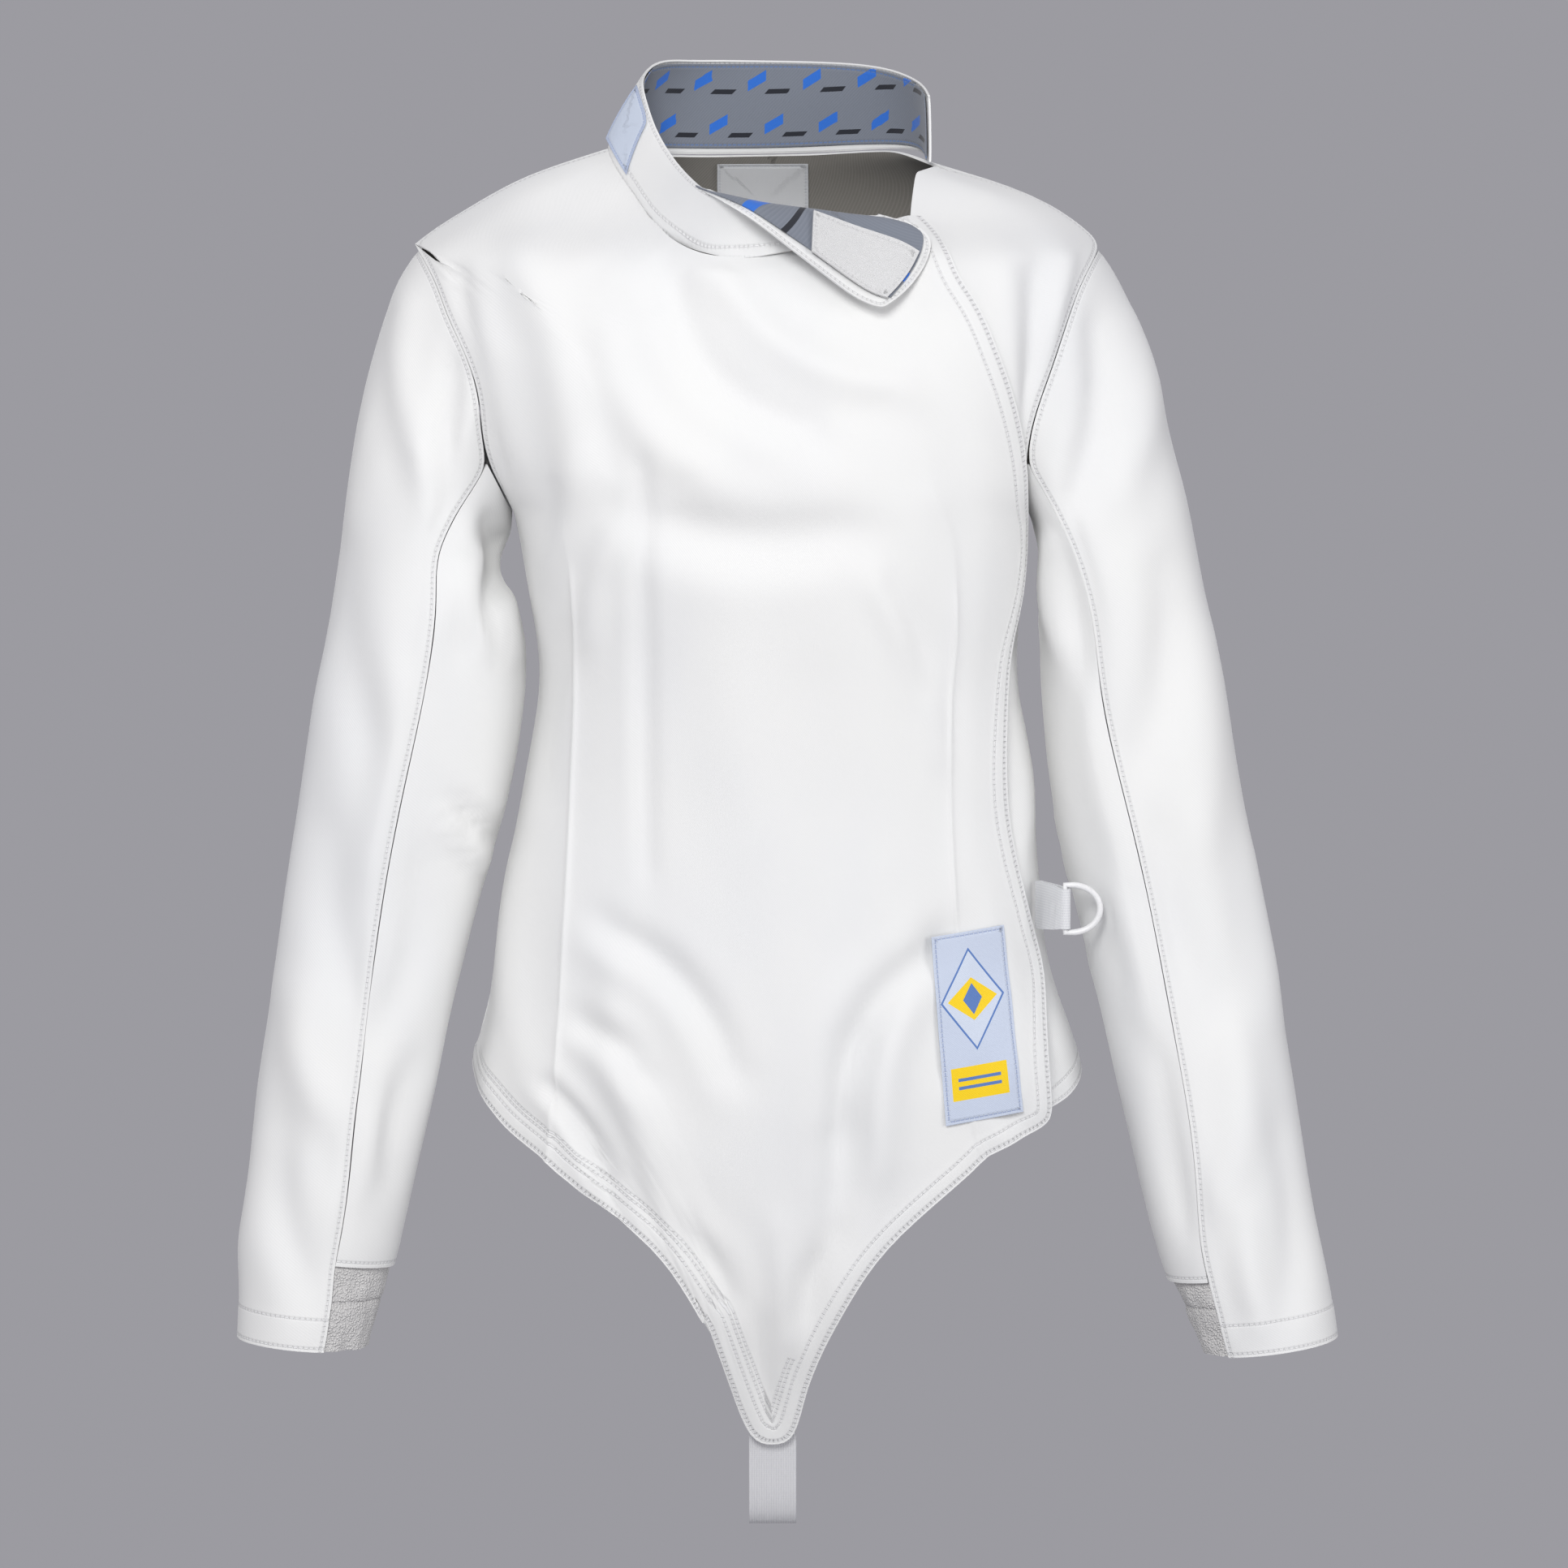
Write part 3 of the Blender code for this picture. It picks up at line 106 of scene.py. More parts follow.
def cloth_face(node, levels=2, facing=0, bend=RIM_BEND):
    """One face of a cloth wall as a smooth open mesh: 0 the wider, 1 facing out, -1 facing in."""
    sheet = bmesh.new()
    sheet.from_mesh(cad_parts[node].data)
    bmesh.ops.remove_doubles(sheet, verts=sheet.verts, dist=0.01 * MM)
    tree = BVHTree.FromBMesh(sheet)
    rims = []
    for face in sheet.faces:
        start = face.calc_center_median() - face.normal * 0.02 * MM
        sharp = any(edge.calc_face_angle() > CORNER_BEND for edge in face.edges)
        if sharp and tree.ray_cast(start, -face.normal, WALL_LIMIT * MM)[0] is None:
            rims.append(face)
    bmesh.ops.delete(sheet, geom=rims, context="FACES")
    groups = sorted(islands_of(sheet.faces, bend), key=lambda g: sum(f.calc_area() for f in g))[-2:]
    keep = groups[-1] if facing == 0 else max(groups, key=lambda g: facing * facing_out(g))
    keep = set(keep)
    bmesh.ops.delete(sheet, geom=[f for f in sheet.faces if f not in keep], context="FACES")
    bmesh.ops.join_triangles(
        sheet, faces=sheet.faces, angle_face_threshold=QUAD_ANGLE, angle_shape_threshold=QUAD_ANGLE,
    )
    mesh = bpy.data.meshes.new(node + "_cage")
    sheet.to_mesh(mesh)
    sheet.free()
    cage = bpy.data.objects.new(node + "_cage", mesh)
    bpy.context.scene.collection.objects.link(cage)
    finer = cage.modifiers.new("finer", "SUBSURF")
    finer.levels = levels
    finer.render_levels = levels
    finer.boundary_smooth = "PRESERVE_CORNERS"
    graph = bpy.context.evaluated_depsgraph_get()
    smooth = bpy.data.meshes.new_from_object(cage.evaluated_get(graph))
    bpy.data.objects.remove(cage)
    return smooth


def points_of(mesh):
    flat = np.zeros(len(mesh.vertices) * 3)
    mesh.vertices.foreach_get("co", flat)
    return flat.reshape(-1, 3) / MM


def normals_of(mesh):
    flat = np.zeros(len(mesh.vertices) * 3)
    mesh.vertices.foreach_get("normal", flat)
    return flat.reshape(-1, 3)


def move_out(mesh, out):
    """Every point moves out by its own number of millimetres."""
    points = points_of(mesh) + normals_of(mesh) * np.asarray(out)[:, None]
    mesh.vertices.foreach_set("co", (points * MM).ravel())
    mesh.update()


def edges_of(mesh):
    """The runs of free edge between the corners of a panel, as lists of points in millimetres."""
    uses = {}
    for face in mesh.polygons:
        for key in face.edge_keys:
            uses[key] = uses.get(key, 0) + 1
    beside = {}
    links = {}
    for a, b in mesh.edge_keys:
        links[a] = links.get(a, 0) + 1
        links[b] = links.get(b, 0) + 1
        if uses.get((a, b)) == 1:
            beside.setdefault(a, []).append(b)
            beside.setdefault(b, []).append(a)
    points = points_of(mesh)
    corners = {v for v in beside if links[v] == 2}
    runs = []
    for corner in corners:
        for first in beside[corner]:
            run = [corner, first]
            while run[-1] not in corners and len(run) <= len(beside):
                ahead = [v for v in beside[run[-1]] if v not in run[-2:]]
                if not ahead:
                    break
                run.append(ahead[0])
            if run[0] < run[-1]:
                runs.append(points[run])
    return runs


def edge_near(mesh, place):
    """The run of free edge that passes closest to a place in millimetres."""
    return min(edges_of(mesh), key=lambda run: np.linalg.norm(run - np.array(place), axis=1).min())


def measure_from(mesh, name, line):
    """Stores each point's distance from a line, and where along it the nearest spot lies, in mm."""
    spots = []
    marks = []
    gone = 0.0
    for p, q in zip(line[:-1], line[1:]):
        long = np.linalg.norm(q - p)
        for k in range(max(1, int(long))):
            t = k / max(1, int(long))
            spots.append(p + (q - p) * t)
            marks.append(gone + long * t)
        gone += long
    spots.append(line[-1])
    marks.append(gone)
    tree = kdtree.KDTree(len(spots))
    for k, spot in enumerate(spots):
        tree.insert(Vector(spot), k)
    tree.balance()
    far = np.zeros(len(mesh.vertices))
    along = np.zeros(len(mesh.vertices))
    for k, p in enumerate(points_of(mesh)):
        spot, index, distance = tree.find(Vector(p))
        far[k] = distance
        along[k] = marks[index]
    keep_numbers(mesh, name + "_far", far)
    keep_numbers(mesh, name + "_along", along)
    return far, along


def keep_numbers(mesh, name, values):
    layer = mesh.attributes.new(name, "FLOAT", "POINT")
    layer.data.foreach_set("value", np.asarray(values, dtype=np.float32))


def creases_at(points, normals, creases, facing):
    """Height in mm that a table of creases gives; facing -1 for the front, 1 for the back."""
    x, z = points[:, 0], points[:, 2]
    out = np.zeros(len(points))
    for x1, z1, x2, z2, bend, half, high in creases:
        dx, dz = x2 - x1, z2 - z1
        long = math.hypot(dx, dz)
        t = ((x - x1) * dx + (z - z1) * dz) / long**2
        inside = np.clip(t, 0.0, 1.0)
        across = ((x - x1) * dz - (z - z1) * dx) / long
        across = (across - bend * 4.0 * inside * (1.0 - inside)) / half
        beyond = np.abs(t - inside) * long / (1.6 * half)
        fade = np.exp(-beyond**2) * (0.5 + 0.5 * np.sin(math.pi * (0.12 + 0.76 * inside)))
        lip = np.exp(-(across - 1.8)**2) * 0.32 + np.exp(-(across + 1.9)**2) * 0.18
        out += CREASE_GAIN * high * fade * (np.exp(-across**2) - lip)
    return out * smooth_step(normals[:, 1] * facing * 2.0 + 0.35)


def seam_dip(far):
    """Furrow in mm that a seam pulls at a distance from it."""
    return -SEAM_DEEP * np.exp(-(far / SEAM_HALF)**2)


def hem_roll(far, rise, deep):
    """Height in mm of the doubled cloth between a cut edge and its stitching."""
    return rise * smooth_step((deep - far) / HEM_SOFT)


def soft_waves(points, wide, high, seed):
    """Slow unevenness of hanging cloth, longer downwards than across."""
    out = np.zeros(len(points))
    for k, (x, y, z) in enumerate(points):
        out[k] = noise.noise(Vector((x / wide + seed, y / wide, z / (1.8 * wide))))
    return out * high


def thread_ways(mesh, centre, radius):
    """Stores how far round and how far down each point lies, in mm, for the weave to follow."""
    points = points_of(mesh)
    middle = np.interp(-points[:, 2], [0.0, 800.0], centre)
    turn = np.arctan2(points[:, 0] - middle, -points[:, 1])
    keep_numbers(mesh, "round", turn * radius)
    keep_numbers(mesh, "down", points[:, 2])


def cloth_piece(name, mesh, nodes, finish, thick=CLOTH_THICK, inner=None):
    """A panel with its thickness, moving with the jacket; inner is the finish of its inside."""
    obj = bpy.data.objects.new(name, mesh)
    bpy.context.scene.collection.objects.link(obj)
    wall = obj.modifiers.new("thickness", "SOLIDIFY")
    wall.thickness = thick * MM
    wall.offset = -1.0
    wall.use_quality_normals = True
    wall.material_offset = 0 if inner is None else 1
    mesh.materials.append(finish)
    mesh.materials.append(inner or finish)
    graph = bpy.context.evaluated_depsgraph_get()
    solid = bpy.data.meshes.new_from_object(obj.evaluated_get(graph))
    obj.modifiers.clear()
    obj.data = solid
    solid.name = name
    solid.shade_smooth()
    solid.set_sharp_from_angle(angle=math.radians(55))
    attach(obj, "jacket")
    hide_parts(*nodes)
    return obj


def count(tree, operation, *values):
    """A Math node in a node tree; values are numbers or sockets."""
    node = tree.nodes.new("ShaderNodeMath")
    node.operation = operation
    for socket, value in zip(node.inputs, values):
        if isinstance(value, (int, float)):
            socket.default_value = value
        else:
            tree.links.new(value, socket)
    return node.outputs[0]


def fade_between(tree, value, low, high):
    """0 where value is below low, 1 above high."""
    node = tree.nodes.new("ShaderNodeMapRange")
    node.interpolation_type = "SMOOTHSTEP"
    tree.links.new(value, node.inputs["Value"])
    for name, number in (("From Min", low), ("From Max", high)):
        if isinstance(number, (int, float)):
            node.inputs[name].default_value = number
        else:
            tree.links.new(number, node.inputs[name])
    return node.outputs[0]


def new_group(name, inputs, outputs):
    """An empty shader node group; returns it with its inner input and output nodes."""
    group = bpy.data.node_groups.new(name, "ShaderNodeTree")
    for label, default in inputs:
        kind = "NodeSocketVector" if default is None else "NodeSocketFloat"
        socket = group.interface.new_socket(label, in_out="INPUT", socket_type=kind)
        if default is not None:
            socket.default_value = default
    for label in outputs:
        group.interface.new_socket(label, in_out="OUTPUT", socket_type="NodeSocketFloat")
    return group, group.nodes.new("NodeGroupInput"), group.nodes.new("NodeGroupOutput")


def make_weave_group():
    """Fine diagonal weave: threads that rise and dip, from the ways round and down."""
    group, given, result = new_group(
        "Fine weave", [("Round", 0.0), ("Down", 0.0), ("Thread", 0.8)], ["Height", "Shade"],
    )
    turns = count(group, "DIVIDE", 2.0 * math.pi, given.outputs["Thread"])
    warp = count(group, "SINE", count(group, "MULTIPLY", given.outputs["Round"], turns))
    weft = count(group, "SINE", count(group, "MULTIPLY", given.outputs["Down"], turns))
    slant = count(group, "ADD", given.outputs["Round"], given.outputs["Down"])
    rib = count(group, "SINE", count(group, "MULTIPLY", slant, count(group, "MULTIPLY", turns, 0.5)))
    cross = count(group, "MULTIPLY", warp, weft)
    height = count(group, "ADD", count(group, "MULTIPLY", cross, 0.4), count(group, "MULTIPLY", rib, 0.6))
    group.links.new(height, result.inputs["Height"])
    group.links.new(count(group, "MULTIPLY_ADD", height, 0.5, 0.5), result.inputs["Shade"])
    return group


def make_stitch_group():
    """One row of stitches at a distance from an edge: the thread, and the furrow it pulls."""
    group, given, result = new_group(
        "Stitch row",
        [("Distance", 0.0), ("Along", 0.0), ("Place", 2.0), ("Length", 3.2), ("From", -1.0),
         ("To", 9999.0)],
        ["Thread", "Furrow"],
    )
    away = count(group, "SUBTRACT", given.outputs["Distance"], given.outputs["Place"])
    beside = count(group, "ABSOLUTE", away)
    line = count(group, "SUBTRACT", 1.0, fade_between(group, beside, 0.22, 0.5))
    part = count(group, "FRACT", count(group, "DIVIDE", given.outputs["Along"], given.outputs["Length"]))
    middle = count(group, "ABSOLUTE", count(group, "SUBTRACT", part, 0.5))
    dash = count(group, "SUBTRACT", 1.0, fade_between(group, middle, 0.34, 0.44))
    after = count(group, "GREATER_THAN", given.outputs["Along"], given.outputs["From"])
    before = count(group, "LESS_THAN", given.outputs["Along"], given.outputs["To"])
    there = count(group, "MULTIPLY", after, before)
    furrow = count(group, "SUBTRACT", 1.0, fade_between(group, beside, 0.0, 1.7))
    hole = count(group, "MULTIPLY", furrow, count(group, "MULTIPLY_ADD", dash, -0.45, 1.0))
    thread = count(group, "MULTIPLY", count(group, "MULTIPLY", line, dash), there)
    group.links.new(thread, result.inputs["Thread"])
    group.links.new(count(group, "MULTIPLY", hole, there), result.inputs["Furrow"])
    return group


fine_weave = make_weave_group()
stitch_row = make_stitch_group()


def number_of(tree, name):
    node = tree.nodes.new("ShaderNodeAttribute")
    node.attribute_name = name
    return node.outputs["Fac"]


def place_group(tree, group, **values):
    node = tree.nodes.new("ShaderNodeGroup")
    node.node_tree = group
    for name, value in values.items():
        socket = node.inputs[name]
        if isinstance(value, (int, float)):
            socket.default_value = value
        else:
            tree.links.new(value, socket)
    return node


def plain_finish(name, rough, sheen=0.0, sheen_rough=0.5):
    finish = bpy.data.materials.new(name)
    finish.use_nodes = True
    shader = finish.node_tree.nodes["Principled BSDF"]
    shader.inputs["Roughness"].default_value = rough
    shader.inputs["Specular IOR Level"].default_value = 0.3
    shader.inputs["Sheen Weight"].default_value = sheen
    shader.inputs["Sheen Roughness"].default_value = sheen_rough
    return finish, finish.node_tree, shader


def uneven(tree, scale, low, high, stretch=(1.0, 1.0, 1.0)):
    """Soft cloudy variation over the piece."""
    place = tree.nodes.new("ShaderNodeTexCoord").outputs["Object"]
    scaled = tree.nodes.new("ShaderNodeMapping")
    scaled.inputs["Scale"].default_value = stretch
    tree.links.new(place, scaled.inputs["Vector"])
    cloud = tree.nodes.new("ShaderNodeTexNoise")
    cloud.inputs["Scale"].default_value = scale
    cloud.inputs["Detail"].default_value = 4.0
    tree.links.new(scaled.outputs["Vector"], cloud.inputs["Vector"])
    return fade_between(tree, cloud.outputs["Fac"], low, high)


def colour_mix(tree, factor, first, second):
    node = tree.nodes.new("ShaderNodeMix")
    node.data_type = "RGBA"
    for name, value in (("A", first), ("B", second)):
        socket = [s for s in node.inputs if s.name == name and s.type == "RGBA"][0]
        if isinstance(value, tuple):
            socket.default_value = (*value, 1.0)
        else:
            tree.links.new(value, socket)
    if isinstance(factor, (int, float)):
        node.inputs["Factor"].default_value = factor
    else:
        tree.links.new(factor, node.inputs["Factor"])
    return [s for s in node.outputs if s.type == "RGBA"][0]


def raise_surface(tree, shader, height):
    """Height in mm drives the normal."""
    bump = tree.nodes.new("ShaderNodeBump")
    bump.inputs["Strength"].default_value = 1.0
    bump.inputs["Distance"].default_value = MM
    tree.links.new(height, bump.inputs["Height"])
    tree.links.new(bump.outputs["Normal"], shader.inputs["Normal"])


# Painted shade: the grey mixed into the furrow that each row of stitches pulls.
PAINTED_FURROW_SHADE = (0.50, 0.50, 0.52)
THREAD_WHITE = (0.84, 0.84, 0.84)


def white_cloth(name, colour, deeper, rows):
    """Matt white stretch weave with painted shade in each stitch furrow; rows are (edge, place, from, to) for
    each row of stitches.
    """
    finish, tree, shader = plain_finish(name, 0.72, 0.12, 0.45)
    weave = place_group(
        tree, fine_weave, Round=number_of(tree, "round"), Down=number_of(tree, "down"), Thread=0.85,
    )
    cloud = uneven(tree, 7.0, 0.35, 0.7, (1.0, 1.0, 0.5))
    paint = colour_mix(tree, cloud, colour, deeper)
    paint = colour_mix(tree, count(tree, "MULTIPLY", weave.outputs["Shade"], 0.10), paint, deeper)
    slub = uneven(tree, 260.0, 0.3, 0.8, (1.0, 1.0, 0.2))
    height = count(tree, "MULTIPLY", weave.outputs["Height"], 0.018)
    height = count(tree, "ADD", height, count(tree, "MULTIPLY", slub, 0.02))
    for edge, place, start, stop in rows:
        row = place_group(
            tree, stitch_row, Distance=number_of(tree, edge + "_far"),
            Along=number_of(tree, edge + "_along"), Place=place, From=start, To=stop,
        )
        # Painted shade: the stitch furrow is darkened towards grey.
        furrow_shade = count(tree, "MULTIPLY", row.outputs["Furrow"], 0.16)
        paint = colour_mix(tree, furrow_shade, paint, PAINTED_FURROW_SHADE)
        light = count(tree, "MULTIPLY", row.outputs["Thread"], 0.8)
        paint = colour_mix(tree, light, paint, THREAD_WHITE)
        height = count(tree, "ADD", height, count(tree, "MULTIPLY", row.outputs["Furrow"], -0.55))
        height = count(tree, "ADD", height, count(tree, "MULTIPLY", row.outputs["Thread"], 0.3))
    tree.links.new(paint, shader.inputs["Base Color"])
    raise_surface(tree, shader, height)
    return finish


WHITE = (0.80, 0.80, 0.785)
WHITE_DEEPER = (0.755, 0.76, 0.76)
EVERYWHERE = (-1.0, 9999.0)
FLAP_DOUBLE = (20.0, 430.0)  # mm along the flap edge that the two inner rows run
HEM_STITCHES = [("hem", 1.8, *EVERYWHERE), ("hem", 10.5, *EVERYWHERE)]
SEAM_STITCH = 2.4           # mm between a seam and its row of top-stitching

# Columns: x and z of both ends in mm as seen from the front, bend, half width, height out.
FRONT_CREASES = (
    (-190, -75, -168, -190, 5, 8, -1.6),
    (-150, -70, -118, -190, -8, 14, 1.5),
    (-100, -110, -40, -190, 14, 15, 1.6),
    (-60, -80, 20, -165, 18, 13, -1.8),
    (-30, -75, 75, -140, 16, 12, 1.4),
    (-85, -215, 40, -228, 10, 16, -1.8),
    (-120, -195, -130, -245, -4, 10, 1.2),
    (-98, -235, -110, -290, 3, 8, 1.0),
    (-78, -190, -76, -430, 0, 6, -0.9),
    (66, -262, 100, -360, -5, 9, 1.1),
    (72, -262, 92, -320, -4, 7, -1.0),
    (-20, -290, -14, -410, 4, 22, 0.9),
    (30, -330, 40, -470, -4, 20, -0.9),
    (-128, -300, -140, -380, 3, 9, -0.9),
    (-133, -570, -98, -637, -6, 6, -2.2),
    (-110, -530, -82, -556, -5, 9, -1.8),
    (-97, -470, -26, -552, -12, 10, -1.6),
    (-95, -500, -70, -600, 8, 13, 1.4),
    (98, -482, 44, -590, 16, 11, -2.0),
    (44, -590, 38, -645, 0, 10, -1.4),
    (84, -500, 66, -610, 8, 12, 1.5),
    (-46, -660, -28, -690, -2, 8, -1.4),
    (36, -662, 20, -700, 2, 9, -1.4),
    (4, -655, 10, -720, 0, 9, 1.2),
    (-8, -715, -2, -765, 2, 6, -1.0),
    (120, -560, 150, -590, -2, 8, -1.1),
    (-165, -440, -150, -560, 4, 12, 1.1),
)
DART_LINES = {
    "left": ((-246, -122), (-288, -119.2), (-336, -119), (-372, -121), (-412, -123), (-456, -125.2),
             (-504, -128.2), (-548, -131.2), (-612, -137.2)),
    "right": ((-256, 110.3), (-293, 110.7), (-328, 107.7), (-361, 106.9), (-411, 108.1),
              (-455, 110.4), (-589, 122.2), (-609, 128)),
}
FLAP_LESS = 6.0             # mm that less cloth is turned in at the flap than at the hem
DART_RIDGE = 0.9            # mm that the stitched fold of a dart stands up
DART_STEP = 0.5             # mm that the cloth folded under it lifts one side

front = cloth_face("front")
front_points = points_of(front)
front_shape = creases_at(front_points, normals_of(front), FRONT_CREASES, -1)
front_shape += soft_waves(front_points, 60.0, 0.9, 3.0)
front_side, _ = measure_from(front, "side", edge_near(front, (-150, 0, -350)))
front_neck, _ = measure_from(front, "neck", edge_near(front, (0, -90, -62)))
front_shape *= smooth_step(front_side / CALM_BY_SEAM) * smooth_step(front_neck / CALM_BY_NECK)
for hand, line in DART_LINES.items():
    heights = np.array([row[0] for row in line][::-1], float)
    spots = np.array([row[1] for row in line][::-1], float)
    aside = front_points[:, 0] - np.interp(front_points[:, 2], heights, spots)
    shown = smooth_step((line[0][0] - 2.0 - front_points[:, 2]) / 16.0)
    outer_side = smooth_step((np.sign(spots[0]) * aside + 1.0) / 1.5)
    ridge = DART_RIDGE * np.exp(-(aside / 1.3)**2) + DART_STEP * outer_side * np.exp(-np.abs(aside) / 9.0)
    front_shape += ridge * shown
    keep_numbers(front, "dart_" + hand + "_far", np.where(shown > 0.1, np.abs(aside), 50.0))
    keep_numbers(front, "dart_" + hand + "_along", front_points[:, 2])
move_out(front, front_shape)
front_hem, _ = measure_from(front, "hem", edge_near(front, (0, -50, -791)))
front_flap, _ = measure_from(front, "flap", edge_near(front, (151, -45, -257)))
front_edge = np.minimum(front_hem, front_flap + FLAP_LESS)
move_out(front, hem_roll(front_edge, 0.7, HEM_DEEP) + seam_dip(front_side))
thread_ways(front, (0.0, 0.0), 150.0)
front_cloth = white_cloth(
    "Front cloth", WHITE, WHITE_DEEPER,
    HEM_STITCHES + [
        ("flap", 2.6, *EVERYWHERE), ("flap", 15.0, *FLAP_DOUBLE), ("flap", 17.8, *FLAP_DOUBLE),
        ("side", SEAM_STITCH, *EVERYWHERE), ("dart_left", 2.6, *EVERYWHERE),
        ("dart_right", 2.6, *EVERYWHERE),
    ],
)
front_piece = cloth_piece("front_panel", front, ["front"], front_cloth)


# Wearer's left front: a narrow panel of the same cloth from the shoulder to the hip, half
# hidden under the flap, joined to the back at the side seam and to the sleeve at the armhole.

SIDE_CREASES = (
    (178, -70, 172, -160, 3, 8, 1.6),
    (158, -78, 156, -190, -2, 9, -1.5),
    (150, -250, 158, -330, 3, 8, -1.0),
    (156, -350, 150, -430, -3, 8, 1.1),
    (165, -470, 178, -560, 4, 9, -1.2),
)
left_front = cloth_face("left_front")
side_points = points_of(left_front)
side_shape = creases_at(side_points, normals_of(left_front), SIDE_CREASES, -1)
side_inside, _ = measure_from(left_front, "under", edge_near(left_front, (130, -60, -330)))
side_seam, _ = measure_from(left_front, "side", edge_near(left_front, (170, 0, -400)))
side_shape *= smooth_step((side_inside - 18.0) / 14.0) * smooth_step(side_seam / 14.0)
move_out(left_front, side_shape)
side_hem, _ = measure_from(left_front, "hem", edge_near(left_front, (175, -30, -575)))
in_view = smooth_step((side_inside - 30.0) / 12.0)
move_out(left_front, hem_roll(side_hem, 0.6, HEM_DEEP) * in_view + seam_dip(side_seam))
thread_ways(left_front, (0.0, 0.0), 150.0)
side_cloth = white_cloth(
    "Side cloth", WHITE, WHITE_DEEPER,
    HEM_STITCHES + [("side", SEAM_STITCH, *EVERYWHERE)],
)
side_piece = cloth_piece("left_front_panel", left_front, ["left_front"], side_cloth)


# Back: one panel of the same cloth across the shoulders and down to a hem over the hips,
# joined at shoulders, armholes and sides; its inside shows through the neck.

BACK_CREASES = (
    (-150, -60, -120, -200, 10, 16, 1.6),
    (140, -66, 112, -205, -10, 15, 1.8),
    (-62, -96, 60, -108, 12, 12, -1.2),
    (-40, -135, 70, -150, -14, 18, 1.1),
    (-168, -205, -90, -262, 8, 11, -2.1),
    (162, -210, 84, -258, -9, 11, -2.2),
    (-148, -290, -62, -326, 9, 12, 1.8),
    (146, -296, 48, -334, -7, 12, 1.7),
    (-140, -350, -38, -372, -8, 11, -1.9),
    (142, -346, 26, -380, 10, 11, -2.0),
    (-46, -230, -60, -330, 5, 18, 1.2),
    (52, -240, 68, -320, -5, 17, -1.2),
    (-120, -405, -150, -500, 6, 13, 1.3),
    (118, -410, 156, -505, -6, 13, 1.4),
    (-30, -420, -44, -545, 6, 20, -1.5),
    (48, -430, 58, -550, -6, 19, 1.4),
    (4, -470, 8, -560, 2, 15, -1.2),
)
BACK_SEAM = (0.0, 330.0)    # mm along the side edge that is top-stitched

back = cloth_face("back")
back_points = points_of(back)
back_shape = creases_at(back_points, normals_of(back), BACK_CREASES, 1)
back_shape += soft_waves(back_points, 60.0, 0.9, 9.0)
back_left, _ = measure_from(back, "left", edge_near(back, (-160, 10, -400)))
back_right, _ = measure_from(back, "right", edge_near(back, (160, 10, -400)))
back_neck, _ = measure_from(back, "neck", edge_near(back, (0, 70, 0)))
back_sides = np.minimum(back_left, back_right)
back_shape *= smooth_step(back_sides / CALM_BY_SEAM) * smooth_step(back_neck / CALM_BY_NECK)
move_out(back, back_shape)
back_hem, _ = measure_from(back, "hem", edge_near(back, (0, 108, -573)))
move_out(back, hem_roll(back_hem, 0.6, HEM_DEEP) + seam_dip(back_sides))
thread_ways(back, (0.0, 0.0), 150.0)
back_cloth = white_cloth(
    "Back cloth", WHITE, WHITE_DEEPER,
    HEM_STITCHES + [
        ("neck", 4.0, *EVERYWHERE), ("left", SEAM_STITCH, *BACK_SEAM),
        ("right", SEAM_STITCH, *BACK_SEAM),
    ],
)
backing, tree, shader = plain_finish("Beige grey backing", 0.85, 0.15, 0.5)
weave = place_group(
    tree, fine_weave, Round=number_of(tree, "round"), Down=number_of(tree, "down"), Thread=1.6,
)
tree.links.new(
    colour_mix(tree, weave.outputs["Shade"], (0.21, 0.20, 0.18), (0.29, 0.275, 0.25)),
    shader.inputs["Base Color"],
)
raise_surface(tree, shader, count(tree, "MULTIPLY", weave.outputs["Height"], 0.06))
back_piece = cloth_piece("back_panel", back, ["back"], back_cloth, inner=backing)


# Sleeves: each is a top sleeve over the shoulder and an under-sleeve, of the same cloth, with
# a top-stitched seam down the front of the arm; they bend a little at the elbow.

LEFT_SLEEVE_CREASES = (
    (-222, -95, -212, -190, 6, 10, 1.4),
    (-190, -120, -196, -215, 3, 8, -1.5),
    (-190, -232, -206, -300, -3, 8, 1.5),
    (-172, -228, -168, -262, -2, 7, -2.0),
    (-182, -246, -176, -300, 4, 6, 1.8),
    (-162, -262, -158, -300, 2, 6, 1.8),
    (-262, -250, -246, -350, 6, 15, -1.5),
    (-228, -330, -240, -430, -5, 12, 1.3),
    (-270, -420, -250, -520, 6, 15, -1.6),
    (-190, -400, -176, -412, 2, 7, -2.0),
    (-196, -410, -180, -430, -2, 6, 1.4),
    (-215, -440, -232, -520, -5, 10, -1.5),
    (-290, -520, -262, -590, 8, 13, 1.5),
    (-244, -560, -262, -640, -4, 10, 1.1),
    (-300, -600, -285, -680, 5, 12, -1.4),
    (-222, -560, -232, -620, 3, 8, -1.2),
)
RIGHT_SLEEVE_CREASES = (
    (196, -110, 184, -205, -6, 9, -1.5),
    (226, -100, 214, -200, -8, 12, 1.5),
    (168, -240, 176, -300, 3, 7, 1.9),
    (178, -232, 190, -310, -4, 8, -1.5),
    (240, -260, 226, -360, -6, 14, -1.6),
    (264, -300, 262, -410, -4, 14, 1.4),
    (196, -330, 214, -430, 5, 10, 1.3),
    (240, -420, 262, -510, 6, 14, -1.5),
    (212, -450, 226, -520, -4, 9, 1.4),
    (300, -430, 306, -520, -4, 12, 1.1),
    (284, -540, 276, -630, -6, 13, 1.5),
    (240, -560, 254, -650, 4, 9, -1.3),
    (312, -600, 316, -690, -4, 11, -1.3),
    (288, -650, 296, -705, 3, 9, 1.1),
)
